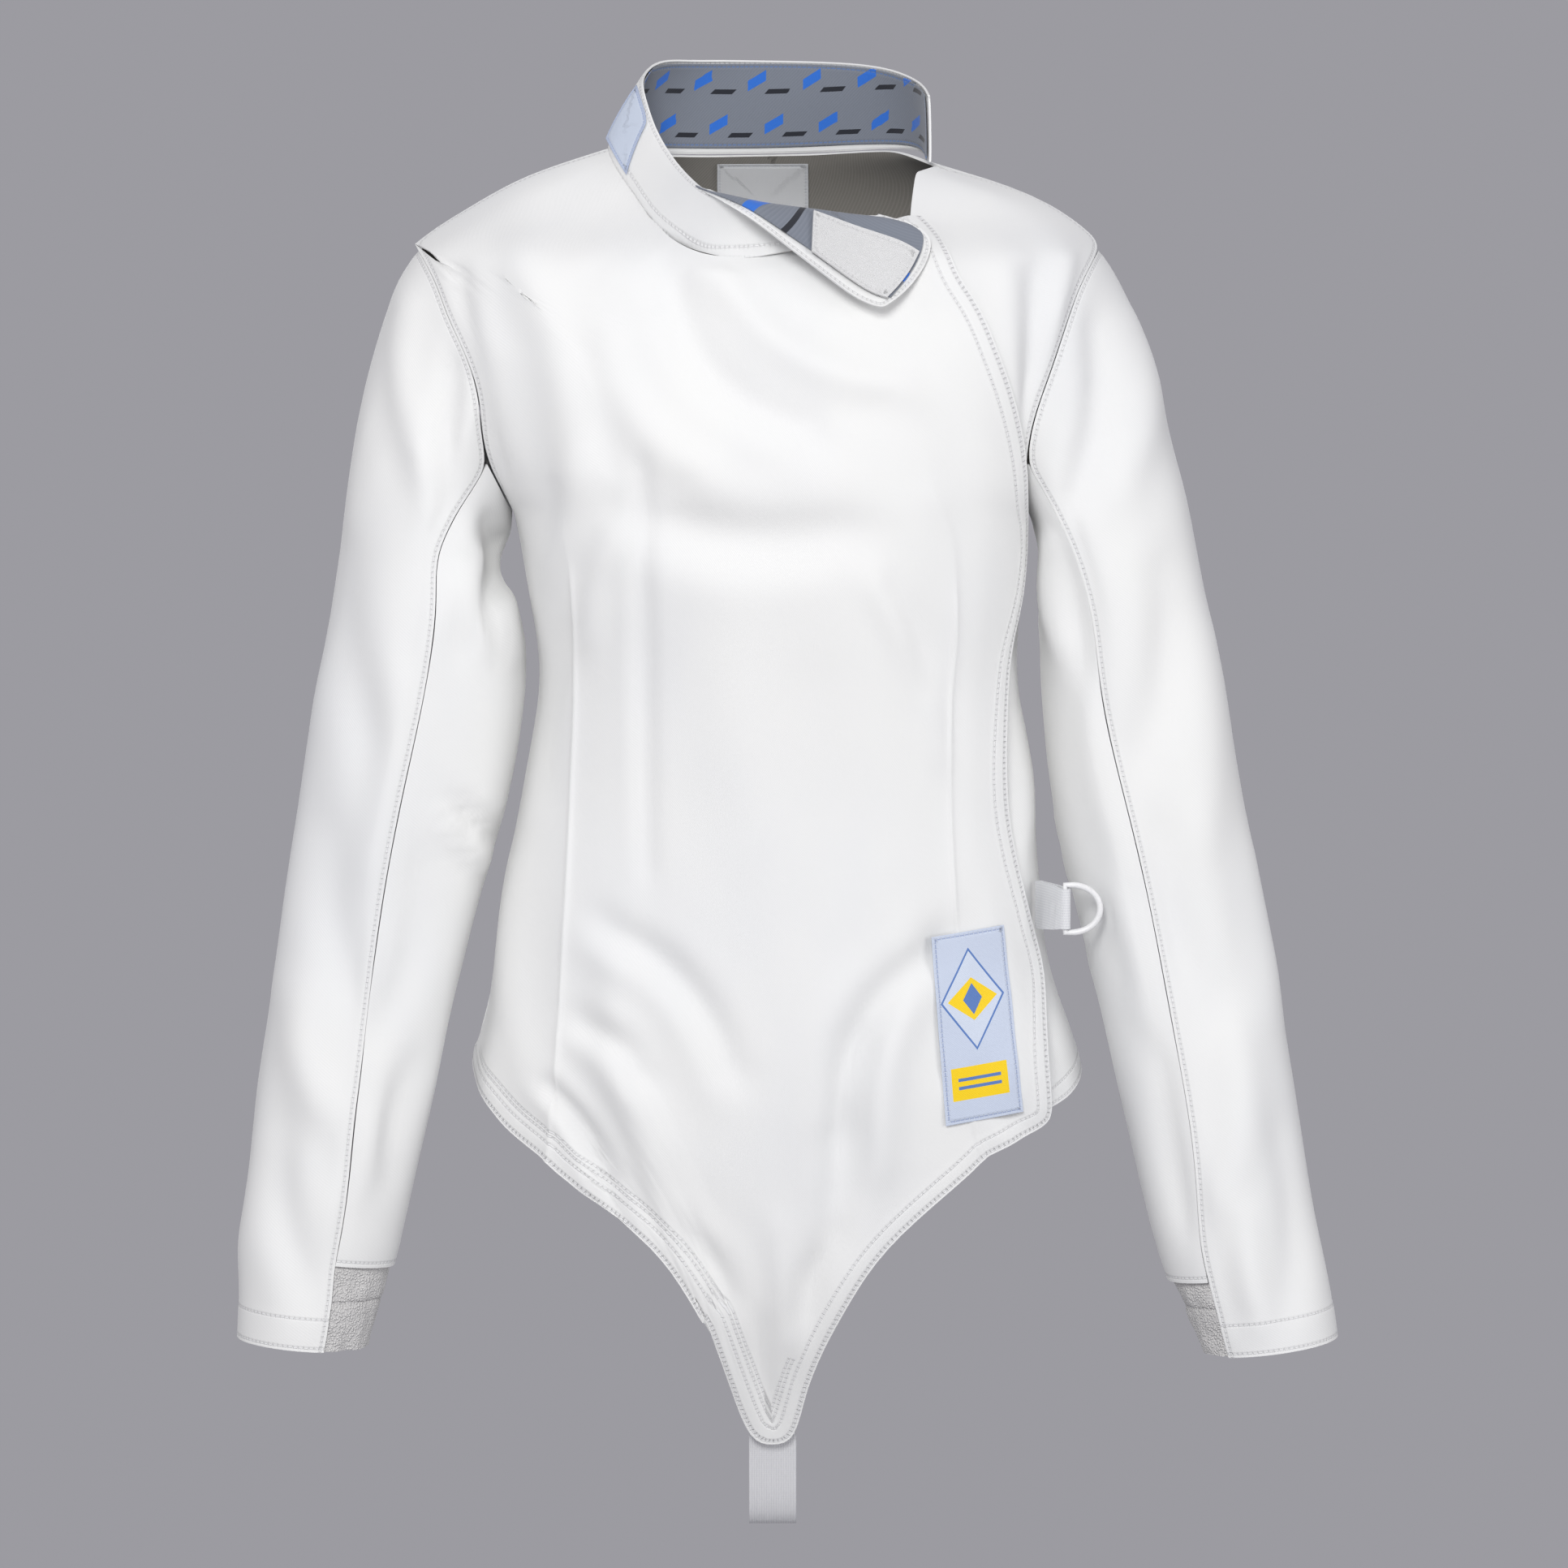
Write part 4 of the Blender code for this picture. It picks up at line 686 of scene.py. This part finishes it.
SLEEVE_BACK_CREASES = (
    (206, -120, 190, -220, -6, 12, -1.8),
    (176, -236, 236, -262, 7, 10, 2.0),
    (172, -270, 244, -306, -6, 10, -2.1),
    (250, -300, 262, -390, 5, 14, 1.5),
    (188, -396, 262, -424, 8, 10, -2.3),
    (194, -440, 280, -452, -7, 9, 2.0),
    (206, -478, 292, -500, 8, 11, -1.9),
    (240, -540, 262, -640, -6, 13, 1.5),
    (296, -560, 306, -660, 5, 12, -1.5),
)
SLEEVE_SIZES = {
    # hand: x of the sleeve's middle at the shoulder and 800 mm down, creases
    "left": ((-200.0, -315.0), LEFT_SLEEVE_CREASES),
    "right": ((190.0, 320.0), RIGHT_SLEEVE_CREASES),
}
CUFF_HEM = 20.0             # mm
ARM_ROUND = 55.0            # mm, a mean radius for the way round
for hand, (centre, front_table) in SLEEVE_SIZES.items():
    sign = -1 if hand == "left" else 1
    back_table = [
        (sign * x1, z1, sign * x2, z2, sign * bend, half, high)
        for x1, z1, x2, z2, bend, half, high in SLEEVE_BACK_CREASES
    ]
    for part, node in (("upper", "sleeve_" + hand), ("lower", "under_sleeve_" + hand)):
        sleeve = cloth_face(node)
        points = points_of(sleeve)
        normals = normals_of(sleeve)
        shape = creases_at(points, normals, front_table, -1) + creases_at(points, normals, back_table, 1)
        shape += soft_waves(points, 45.0, 0.8, 5.0 + sign)
        runs = sorted(edges_of(sleeve), key=len)
        seams = sorted(runs[-2:], key=lambda run: run[:, 1].mean())
        ends = sorted(runs[:2], key=lambda run: run[:, 2].mean())
        front_far, _ = measure_from(sleeve, "front_seam", seams[0])
        back_far, _ = measure_from(sleeve, "back_seam", seams[1])
        cuff_far, _ = measure_from(sleeve, "cuff", ends[0])
        hole_far, _ = measure_from(sleeve, "armhole", ends[1])
        calm = smooth_step(np.minimum(hole_far, cuff_far + 4.0) / 12.0)
        calm *= 0.2 + 0.8 * smooth_step(np.minimum(front_far, back_far) / 11.0)
        dip = seam_dip(np.minimum(np.minimum(front_far, back_far), hole_far))
        move_out(sleeve, shape * calm + dip + hem_roll(cuff_far, 0.4, CUFF_HEM + 1.0))
        thread_ways(sleeve, centre, ARM_ROUND)
        seam_rows = [("front_seam", SEAM_STITCH, *EVERYWHERE), ("armhole", 2.6, *EVERYWHERE)]
        cuff_rows = [("cuff", 2.2, *EVERYWHERE), ("cuff", CUFF_HEM, *EVERYWHERE)]
        rows = seam_rows + cuff_rows if part == "upper" else [("cuff", 3.0, *EVERYWHERE)]
        sleeve_cloth = white_cloth(f"Sleeve cloth {hand} {part}", WHITE, WHITE_DEEPER, rows)
        piece = cloth_piece(
            f"{part}_sleeve_{hand}", sleeve, [node], sleeve_cloth,
        )


# Cuff inserts: looped white towelling let into the under side of each wrist, stitched across.

def make_loops_group():
    """Small uneven loops of towelling."""
    group, given, result = new_group("Towel loops", [("Place", None), ("Density", 620.0)], ["Height", "Shade"])
    cells = group.nodes.new("ShaderNodeTexVoronoi")
    cells.inputs["Randomness"].default_value = 0.85
    group.links.new(given.outputs["Place"], cells.inputs["Vector"])
    group.links.new(given.outputs["Density"], cells.inputs["Scale"])
    top = count(group, "SUBTRACT", 1.0, fade_between(group, cells.outputs["Distance"], 0.1, 0.75))
    group.links.new(top, result.inputs["Height"])
    group.links.new(count(group, "SUBTRACT", 1.0, top), result.inputs["Shade"])
    return group


INSERT_STITCH = 30.0        # mm from the wrist edge to the row that holds the towelling

towel_loops = make_loops_group()
towelling, tree, shader = plain_finish("White towelling", 0.95, 0.3, 0.7)
place = tree.nodes.new("ShaderNodeTexCoord").outputs["Object"]
loops = place_group(tree, towel_loops, Place=place)
row = place_group(
    tree, stitch_row, Distance=number_of(tree, "cuff_far"), Along=number_of(tree, "cuff_along"),
    Place=INSERT_STITCH,
)
paint = colour_mix(tree, loops.outputs["Shade"], (0.80, 0.79, 0.77), (0.58, 0.57, 0.56))
tree.links.new(paint, shader.inputs["Base Color"])
height = count(tree, "MULTIPLY", loops.outputs["Height"], 0.9)
height = count(tree, "ADD", height, count(tree, "MULTIPLY", row.outputs["Furrow"], -1.2))
raise_surface(tree, shader, height)
for hand, area in (("left", 0.0076), ("right", 0.0066)):
    insert = cloth_face("cuff_" + hand, 3)
    runs = edges_of(insert)
    lowest = min(runs, key=lambda run: run[:, 2].mean())
    far, along = measure_from(insert, "cuff", lowest)
    pucker = 0.8 * np.sin(along / 3.4) * np.exp(-far / 6.0)
    furrow = -0.9 * np.exp(-((far - INSERT_STITCH) / 2.0)**2)
    move_out(insert, soft_waves(points_of(insert), 9.0, 1.6, 2.0) + pucker + furrow)
    insert_piece = cloth_piece("cuff_insert_" + hand, insert, ["cuff_" + hand], towelling, 1.6)


# Collar: a standing white strip stitched to the neck in two rows; at the front it folds over
# and its end lies turned down on the flap. Its lining is grey print, with a white loop pad.

def strip_sides(mesh):
    """The two long edges of a strip, the one at the neck seam first."""
    runs = sorted(edges_of(mesh), key=lambda run: np.linalg.norm(np.diff(run, axis=0), axis=1).sum())
    return sorted(runs[-2:], key=lambda run: run[:, 2].mean())


COLLAR_BEND = math.radians(80)
COLLAR_LAP = 2.6            # mm that the collar's lower edge laps down over the neck seam

collar = cloth_face("collar", 2, 1, COLLAR_BEND)
behind, behind_along = measure_from(collar, "behind", edge_near(back, (0, 70, 0)))
before, before_along = measure_from(collar, "before", edge_near(front, (0, -90, -62)))
collar_up = np.minimum(behind, before)
collar_along = np.where(behind < before, behind_along, before_along)
keep_numbers(collar, "neck_far", collar_up)
keep_numbers(collar, "neck_along", collar_along)
measure_from(collar, "top", edge_near(collar, (0, 75, 56)))
move_out(collar, soft_waves(points_of(collar), 30.0, 0.4, 1.0))
sewn = points_of(collar)
sewn[:, 2] -= COLLAR_LAP * smooth_step(1.0 - collar_up / 8.0)
collar.vertices.foreach_set("co", (sewn * MM).ravel())
collar.update()
keep_numbers(collar, "round", collar_along)
keep_numbers(collar, "down", collar_up)
collar_cloth = white_cloth(
    "Collar cloth", WHITE, WHITE_DEEPER,
    [("neck", 1.6, *EVERYWHERE), ("neck", 6.5, *EVERYWHERE), ("top", 2.2, *EVERYWHERE)],
)
collar_piece = cloth_piece("standing_collar", collar, ["collar"], collar_cloth, 1.3)


def make_print_group():
    """Generic print: slanting rows of small bars and lozenges."""
    group, given, result = new_group("Bar print", [("Along", 0.0), ("Up", 0.0)], ["Blue", "Black"])
    along, up = given.outputs["Along"], given.outputs["Up"]
    slant = count(group, "MULTIPLY_ADD", up, 0.9, along)
    tile = count(group, "FRACT", count(group, "DIVIDE", slant, 34.0))
    band = count(group, "FRACT", count(group, "DIVIDE", up, 27.0))
    bar_x = count(group, "ABSOLUTE", count(group, "SUBTRACT", tile, 0.3))
    bar_y = count(group, "ABSOLUTE", count(group, "SUBTRACT", band, 0.55))
    lozenge = count(group, "ADD", count(group, "DIVIDE", bar_x, 0.17), count(group, "DIVIDE", bar_y, 0.24))
    blue = count(group, "LESS_THAN", lozenge, 1.0)
    dot_x = count(group, "ABSOLUTE", count(group, "SUBTRACT", tile, 0.74))
    dot_y = count(group, "ABSOLUTE", count(group, "SUBTRACT", band, 0.3))
    bar = count(group, "MAXIMUM", count(group, "DIVIDE", dot_x, 0.2), count(group, "DIVIDE", dot_y, 0.055))
    black = count(group, "LESS_THAN", bar, 1.0)
    group.links.new(blue, result.inputs["Blue"])
    group.links.new(black, result.inputs["Black"])
    return group


bar_print = make_print_group()
printed_lining, tree, shader = plain_finish("Printed grey lining", 0.85, 0.2, 0.5)
along, up = number_of(tree, "neck_along"), number_of(tree, "neck_far")
weave = place_group(tree, fine_weave, Round=along, Down=up, Thread=1.0)
motif = place_group(tree, bar_print, Along=along, Up=up)
row = place_group(tree, stitch_row, Distance=number_of(tree, "edge_far"), Along=along, Place=2.0, Length=3.0)
paint = colour_mix(tree, weave.outputs["Shade"], (0.175, 0.195, 0.235), (0.215, 0.235, 0.275))
paint = colour_mix(tree, motif.outputs["Blue"], paint, (0.03, 0.16, 0.62))
paint = colour_mix(tree, motif.outputs["Black"], paint, (0.02, 0.022, 0.03))
paint = colour_mix(tree, count(tree, "MULTIPLY", row.outputs["Thread"], 0.7), paint, (0.10, 0.20, 0.45))
tree.links.new(paint, shader.inputs["Base Color"])
height = count(tree, "MULTIPLY", weave.outputs["Height"], 0.04)
raise_surface(tree, shader, count(tree, "ADD", height, count(tree, "MULTIPLY", row.outputs["Furrow"], -0.5)))
lining = cloth_face("collar_lining", 2, -1, COLLAR_BEND)
lining_neck, lining_free = strip_sides(lining)
lining_up, _ = measure_from(lining, "neck", lining_neck)
lining_down, _ = measure_from(lining, "free", lining_free)
keep_numbers(lining, "edge_far", np.minimum(lining_up, lining_down))
lining_piece = cloth_piece("collar_lining_print", lining, ["collar_lining"], printed_lining, 0.8)

loop_pile, tree, shader = plain_finish("White loop pile", 0.95, 0.35, 0.8)
place = tree.nodes.new("ShaderNodeTexCoord").outputs["Object"]
pile = place_group(tree, towel_loops, Place=place, Density=1500.0)
row = place_group(
    tree, stitch_row, Distance=number_of(tree, "edge_far"), Along=number_of(tree, "edge_along"), Place=2.4,
)
tree.links.new(
    colour_mix(tree, pile.outputs["Shade"], (0.80, 0.80, 0.79), (0.66, 0.66, 0.66)),
    shader.inputs["Base Color"],
)
height = count(tree, "MULTIPLY", pile.outputs["Height"], 0.3)
raise_surface(tree, shader, count(tree, "ADD", height, count(tree, "MULTIPLY", row.outputs["Furrow"], -0.6)))


def measure_round(mesh):
    """Distance of each point from the whole outline of a small piece."""
    runs = edges_of(mesh)
    fars = []
    for k, run in enumerate(runs):
        far, along = measure_from(mesh, f"part{k}", run)
        fars.append((far, along))
    nearest = np.argmin([far for far, _ in fars], axis=0)
    far = np.min([far for far, _ in fars], axis=0)
    along = np.array([fars[k][1][i] for i, k in enumerate(nearest)])
    keep_numbers(mesh, "edge_far", far)
    keep_numbers(mesh, "edge_along", along)
    return far


pad = cloth_face("loop_pad", 2, 1)
measure_round(pad)
pad_piece = cloth_piece("loop_fastener_pad", pad, ["loop_pad"], loop_pile, 1.2)


# Labels: a bare white woven one inside the back of the neck and a bare pale blue one on the
# outside of the collar, both stitched at their edges.

def satin_label(name, colour, edge_colour):
    finish, tree, shader = plain_finish(name, 0.5, 0.1, 0.4)
    weave = place_group(
        tree, fine_weave, Round=number_of(tree, "edge_along"), Down=number_of(tree, "edge_far"), Thread=0.6,
    )
    rim = count(tree, "SUBTRACT", 1.0, fade_between(tree, number_of(tree, "edge_far"), 0.6, 1.2))
    row = place_group(
        tree, stitch_row, Distance=number_of(tree, "edge_far"), Along=number_of(tree, "edge_along"), Place=1.6,
        Length=2.4,
    )
    paint = colour_mix(tree, count(tree, "MULTIPLY", weave.outputs["Shade"], 0.15), colour, edge_colour)
    paint = colour_mix(tree, count(tree, "MULTIPLY", rim, 0.5), paint, edge_colour)
    paint = colour_mix(tree, count(tree, "MULTIPLY", row.outputs["Thread"], 0.8), paint, edge_colour)
    tree.links.new(paint, shader.inputs["Base Color"])
    height = count(tree, "MULTIPLY", weave.outputs["Height"], 0.03)
    furrow = count(tree, "MULTIPLY", row.outputs["Furrow"], -0.3)
    raise_surface(tree, shader, count(tree, "ADD", height, furrow))
    return finish


neck_label_cloth = satin_label("White woven label", (0.78, 0.79, 0.80), (0.60, 0.62, 0.66))
neck_label = cloth_face("neck_label", 2, -1)
measure_round(neck_label)
label_piece = cloth_piece("neck_label_cloth", neck_label, ["neck_label"], neck_label_cloth, 0.5)

collar_label_cloth = satin_label("Pale blue woven label", (0.60, 0.66, 0.76), (0.30, 0.38, 0.60))
collar_label = cloth_face("collar_label", 2, 1)
measure_round(collar_label)
tab_piece = cloth_piece(
    "collar_label_cloth", collar_label, ["collar_label"], collar_label_cloth, 0.5,
)


# Badge: a pale blue woven patch sewn over the right dart, with a generic yellow and blue
# design of plain fields and lines.

BADGE_TOP = ((95.6, -474.0), (139.1, -468.2))
BADGE_LOW = ((104.7, -588.6), (151.5, -581.6))
badge = cloth_face("badge", 3, 1)
badge_points = points_of(badge)
low_x = np.interp(badge_points[:, 2], [BADGE_LOW[0][1], BADGE_TOP[0][1]], [BADGE_LOW[0][0], BADGE_TOP[0][0]])
high_x = np.interp(badge_points[:, 2], [BADGE_LOW[1][1], BADGE_TOP[1][1]], [BADGE_LOW[1][0], BADGE_TOP[1][0]])
part_across = (badge_points[:, 0] - low_x) / (high_x - low_x)
keep_numbers(badge, "across", part_across * 46.0)
keep_numbers(badge, "height", badge_points[:, 2] + 474.0 - part_across * 6.4 + 115.0)
badge_far = measure_round(badge)
move_out(badge, soft_waves(badge_points, 14.0, 0.7, 4.0) - 0.5 * np.exp(-(badge_far / 1.6)**2))

badge_cloth, tree, shader = plain_finish("Badge cloth", 0.45, 0.1, 0.4)
across, high = number_of(tree, "across"), number_of(tree, "height")


def within(value, low, top):
    """1 where a number lies between two others."""
    away = count(tree, "ABSOLUTE", count(tree, "SUBTRACT", value, (low + top) / 2))
    return count(tree, "LESS_THAN", away, (top - low) / 2)


def inside_box(left, right, low, top):
    """1 inside a rectangle of the badge, in mm."""
    return count(tree, "MULTIPLY", within(across, left, right), within(high, low, top))


def inside_lozenge(x, z, half_wide, half_tall):
    dx = count(tree, "DIVIDE", count(tree, "ABSOLUTE", count(tree, "SUBTRACT", across, x)), half_wide)
    dz = count(tree, "DIVIDE", count(tree, "ABSOLUTE", count(tree, "SUBTRACT", high, z)), half_tall)
    return count(tree, "LESS_THAN", count(tree, "ADD", dx, dz), 1.0)


YELLOW = (0.90, 0.62, 0.01)
BADGE_BLUE = (0.10, 0.20, 0.48)
weave = place_group(tree, fine_weave, Round=across, Down=high, Thread=0.7)
ground = count(tree, "MULTIPLY", weave.outputs["Shade"], 0.12)
paint = colour_mix(tree, ground, (0.56, 0.62, 0.74), (0.40, 0.46, 0.62))
paint = colour_mix(tree, inside_lozenge(23.0, 74.0, 20.0, 31.0), paint, BADGE_BLUE)
paint = colour_mix(tree, inside_lozenge(23.0, 74.0, 18.6, 29.0), paint, (0.60, 0.66, 0.77))
paint = colour_mix(tree, inside_lozenge(23.0, 74.0, 15.5, 13.0), paint, YELLOW)
paint = colour_mix(tree, inside_lozenge(23.0, 74.0, 6.0, 9.5), paint, BADGE_BLUE)
paint = colour_mix(tree, inside_box(6.0, 40.0, 14.0, 34.0), paint, YELLOW)
paint = colour_mix(tree, inside_box(10.0, 36.0, 20.5, 22.5), paint, BADGE_BLUE)
paint = colour_mix(tree, inside_box(10.0, 36.0, 25.5, 27.5), paint, BADGE_BLUE)
row = place_group(
    tree, stitch_row, Distance=number_of(tree, "edge_far"), Along=number_of(tree, "edge_along"), Place=2.0,
    Length=3.0,
)
paint = colour_mix(tree, count(tree, "MULTIPLY", row.outputs["Thread"], 0.85), paint, (0.28, 0.34, 0.52))
tree.links.new(paint, shader.inputs["Base Color"])
height = count(tree, "MULTIPLY", weave.outputs["Height"], 0.04)
raise_surface(tree, shader, count(tree, "ADD", height, count(tree, "MULTIPLY", row.outputs["Furrow"], -0.5)))
badge_piece = cloth_piece("badge_cloth", badge, ["badge"], badge_cloth, 0.9)


# Crotch elastic: a flat ribbed white band sewn inside the front tip; it loops down and runs
# up inside to the back hem.

elastic_finish, tree, shader = plain_finish("White ribbed elastic", 0.65, 0.15, 0.5)
ribs = count(tree, "SINE", count(tree, "MULTIPLY", number_of(tree, "edge_far"), 2.0 * math.pi / 1.5))
rungs = count(tree, "SINE", count(tree, "MULTIPLY", number_of(tree, "edge_along"), 2.0 * math.pi / 0.9))
paint = colour_mix(tree, count(tree, "MULTIPLY_ADD", ribs, 0.3, 0.4), (0.74, 0.74, 0.75), (0.62, 0.62, 0.64))
tree.links.new(paint, shader.inputs["Base Color"])
height = count(tree, "ADD", count(tree, "MULTIPLY", ribs, 0.10), count(tree, "MULTIPLY", rungs, 0.04))
raise_surface(tree, shader, height)
elastic = cloth_face("crotch_elastic", 3)
measure_from(elastic, "edge", edge_near(elastic, (-14.5, -20, -835)))
elastic_piece = cloth_piece("crotch_band", elastic, ["crotch_elastic"], elastic_finish, 1.3)


# Side loop: folded white webbing sewn into the side, with cut edges that fray a little; a
# white coated wire D-ring hangs in its fold and swings about its straight bar.

webbing_finish, tree, shader = plain_finish("White webbing", 0.8, 0.15, 0.5)
ribs = count(tree, "SINE", count(tree, "MULTIPLY", number_of(tree, "edge_along"), 2.0 * math.pi / 1.1))
cords = count(tree, "SINE", count(tree, "MULTIPLY", number_of(tree, "edge_far"), 2.0 * math.pi / 1.6))
paint = colour_mix(tree, count(tree, "MULTIPLY_ADD", cords, 0.3, 0.4), (0.78, 0.79, 0.80), (0.66, 0.67, 0.70))
tree.links.new(paint, shader.inputs["Base Color"])
height = count(tree, "MULTIPLY", count(tree, "MULTIPLY", ribs, cords), 0.12)
raise_surface(tree, shader, height)
webbing = cloth_face("side_loop", 3, 0)
_, webbing_along = measure_from(webbing, "edge", edge_near(webbing, (181, -64, -447)))
move_out(webbing, 0.12 * np.sin(webbing_along / 1.3))
webbing_piece = cloth_piece("ring_loop", webbing, ["side_loop"], webbing_finish, 1.0)

RING_BAR = (178.0, -59.0, -459.0)
RING_WIRE = 3.8
RING_HALF = 14.6
RING_REACH = 21.2
ring_path = [(0.0, -RING_HALF), (0.0, -RING_HALF / 3), (0.0, RING_HALF / 3), (0.0, RING_HALF)]
for step in range(1, 24):
    turn = math.pi / 2 - math.pi * step / 24
    ring_path.append((RING_REACH * (0.12 + 0.88 * math.cos(turn)**0.9), RING_HALF * math.sin(turn)))
wire = bpy.data.curves.new("d_ring_wire", "CURVE")
wire.dimensions = "3D"
line = wire.splines.new("POLY")
line.points.add(len(ring_path) - 1)
for point, (x, z) in zip(line.points, ring_path):
    point.co = ((RING_BAR[0] + x) * MM, RING_BAR[1] * MM, (RING_BAR[2] + z) * MM, 1.0)
line.use_cyclic_u = True
wire.bevel_depth = RING_WIRE / 2 * MM
wire.bevel_resolution = 5
bent = bpy.data.objects.new("d_ring_wire", wire)
bpy.context.scene.collection.objects.link(bent)
ring_mesh = bpy.data.meshes.new_from_object(bent.evaluated_get(bpy.context.evaluated_depsgraph_get()))
bpy.data.objects.remove(bent)
ring_mesh.shade_smooth()
ring = bpy.data.objects.new("d_ring_coated", ring_mesh)
bpy.context.scene.collection.objects.link(ring)
ring_coat, tree, shader = plain_finish("White coated wire", 0.35)
shader.inputs["Specular IOR Level"].default_value = 0.5
specks = uneven(tree, 900.0, 0.4, 0.8)
tree.links.new(colour_mix(tree, specks, (0.80, 0.80, 0.80), (0.74, 0.74, 0.75)), shader.inputs["Base Color"])
raise_surface(tree, shader, count(tree, "MULTIPLY", specks, 0.03))
ring_mesh.materials.clear()
ring_mesh.materials.append(ring_coat)
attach(ring, "ring")
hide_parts("d_ring")


# Stage: a pale floor well below the jacket, an even grey surround, and soft lamps; the camera
# stands at the photograph's angle.

FLOOR_HALF = 1.5            # m
FLOOR_LEVEL = -1.35

floor_mesh = bpy.data.meshes.new("floor")
floor_corners = [
    (x * FLOOR_HALF, y * FLOOR_HALF, FLOOR_LEVEL) for x, y in ((-1, -1), (1, -1), (1, 1), (-1, 1))
]
floor_mesh.from_pydata(floor_corners, [], [(0, 1, 2, 3)])
floor = bpy.data.objects.new("floor", floor_mesh)
bpy.context.scene.collection.objects.link(floor)
floor_finish, tree, shader = plain_finish("Pale floor", 0.9)
shader.inputs["Base Color"].default_value = (0.36, 0.36, 0.38, 1.0)
floor_mesh.materials.append(floor_finish)
floor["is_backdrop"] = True

surround = bpy.data.worlds.new("grey surround")
surround.use_nodes = True
sky = surround.node_tree.nodes["Background"]
sky.inputs["Color"].default_value = (0.332, 0.328, 0.356, 1.0)
sky.inputs["Strength"].default_value = 1.0
bpy.context.scene.world = surround
bpy.context.scene.view_settings.view_transform = "Standard"

# Columns: name, place in m, size in m, power in W
LAMPS = (
    ("key", (-0.3, -3.0, 1.0), (1.0, 1.0), 64.0),
    ("fill", (2.4, -1.8, 0.0), (1.2, 1.6), 22.0),
    ("side", (-2.4, -1.2, 0.4), (1.2, 1.6), 9.0),
    ("top", (0.0, 0.2, 1.9), (2.0, 1.4), 4.0),
    ("low", (0.2, -2.2, -1.1), (2.0, 1.0), 3.0),
    ("rear", (0.0, 2.8, 0.4), (2.2, 2.0), 40.0),
)
for name, spot, size, power in LAMPS:
    lamp = bpy.data.lights.new(name, "AREA")
    lamp.shape = "RECTANGLE"
    lamp.size, lamp.size_y = size
    lamp.energy = power
    holder = bpy.data.objects.new(name, lamp)
    holder.location = spot
    holder.rotation_euler = (Vector((0.0, 0.0, -0.38)) - Vector(spot)).to_track_quat("-Z", "Y").to_euler()
    bpy.context.scene.collection.objects.link(holder)

CAMERA_FAR = 4.0
CAMERA_RISE = math.radians(5.0)
CAMERA_AIM = Vector((0.007, 0.0, -0.388))
VIEW_WIDE = 0.966
lens = bpy.data.cameras.new("camera")
lens.sensor_width = 36.0
lens.lens = 36.0 * CAMERA_FAR / VIEW_WIDE
camera = bpy.data.objects.new("camera", lens)
away = Vector((0.0, -math.cos(CAMERA_RISE), math.sin(CAMERA_RISE)))
camera.location = CAMERA_AIM + away * CAMERA_FAR
camera.rotation_euler = (-away).to_track_quat("-Z", "Y").to_euler()
bpy.context.scene.collection.objects.link(camera)
bpy.context.scene.camera = camera

low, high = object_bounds()
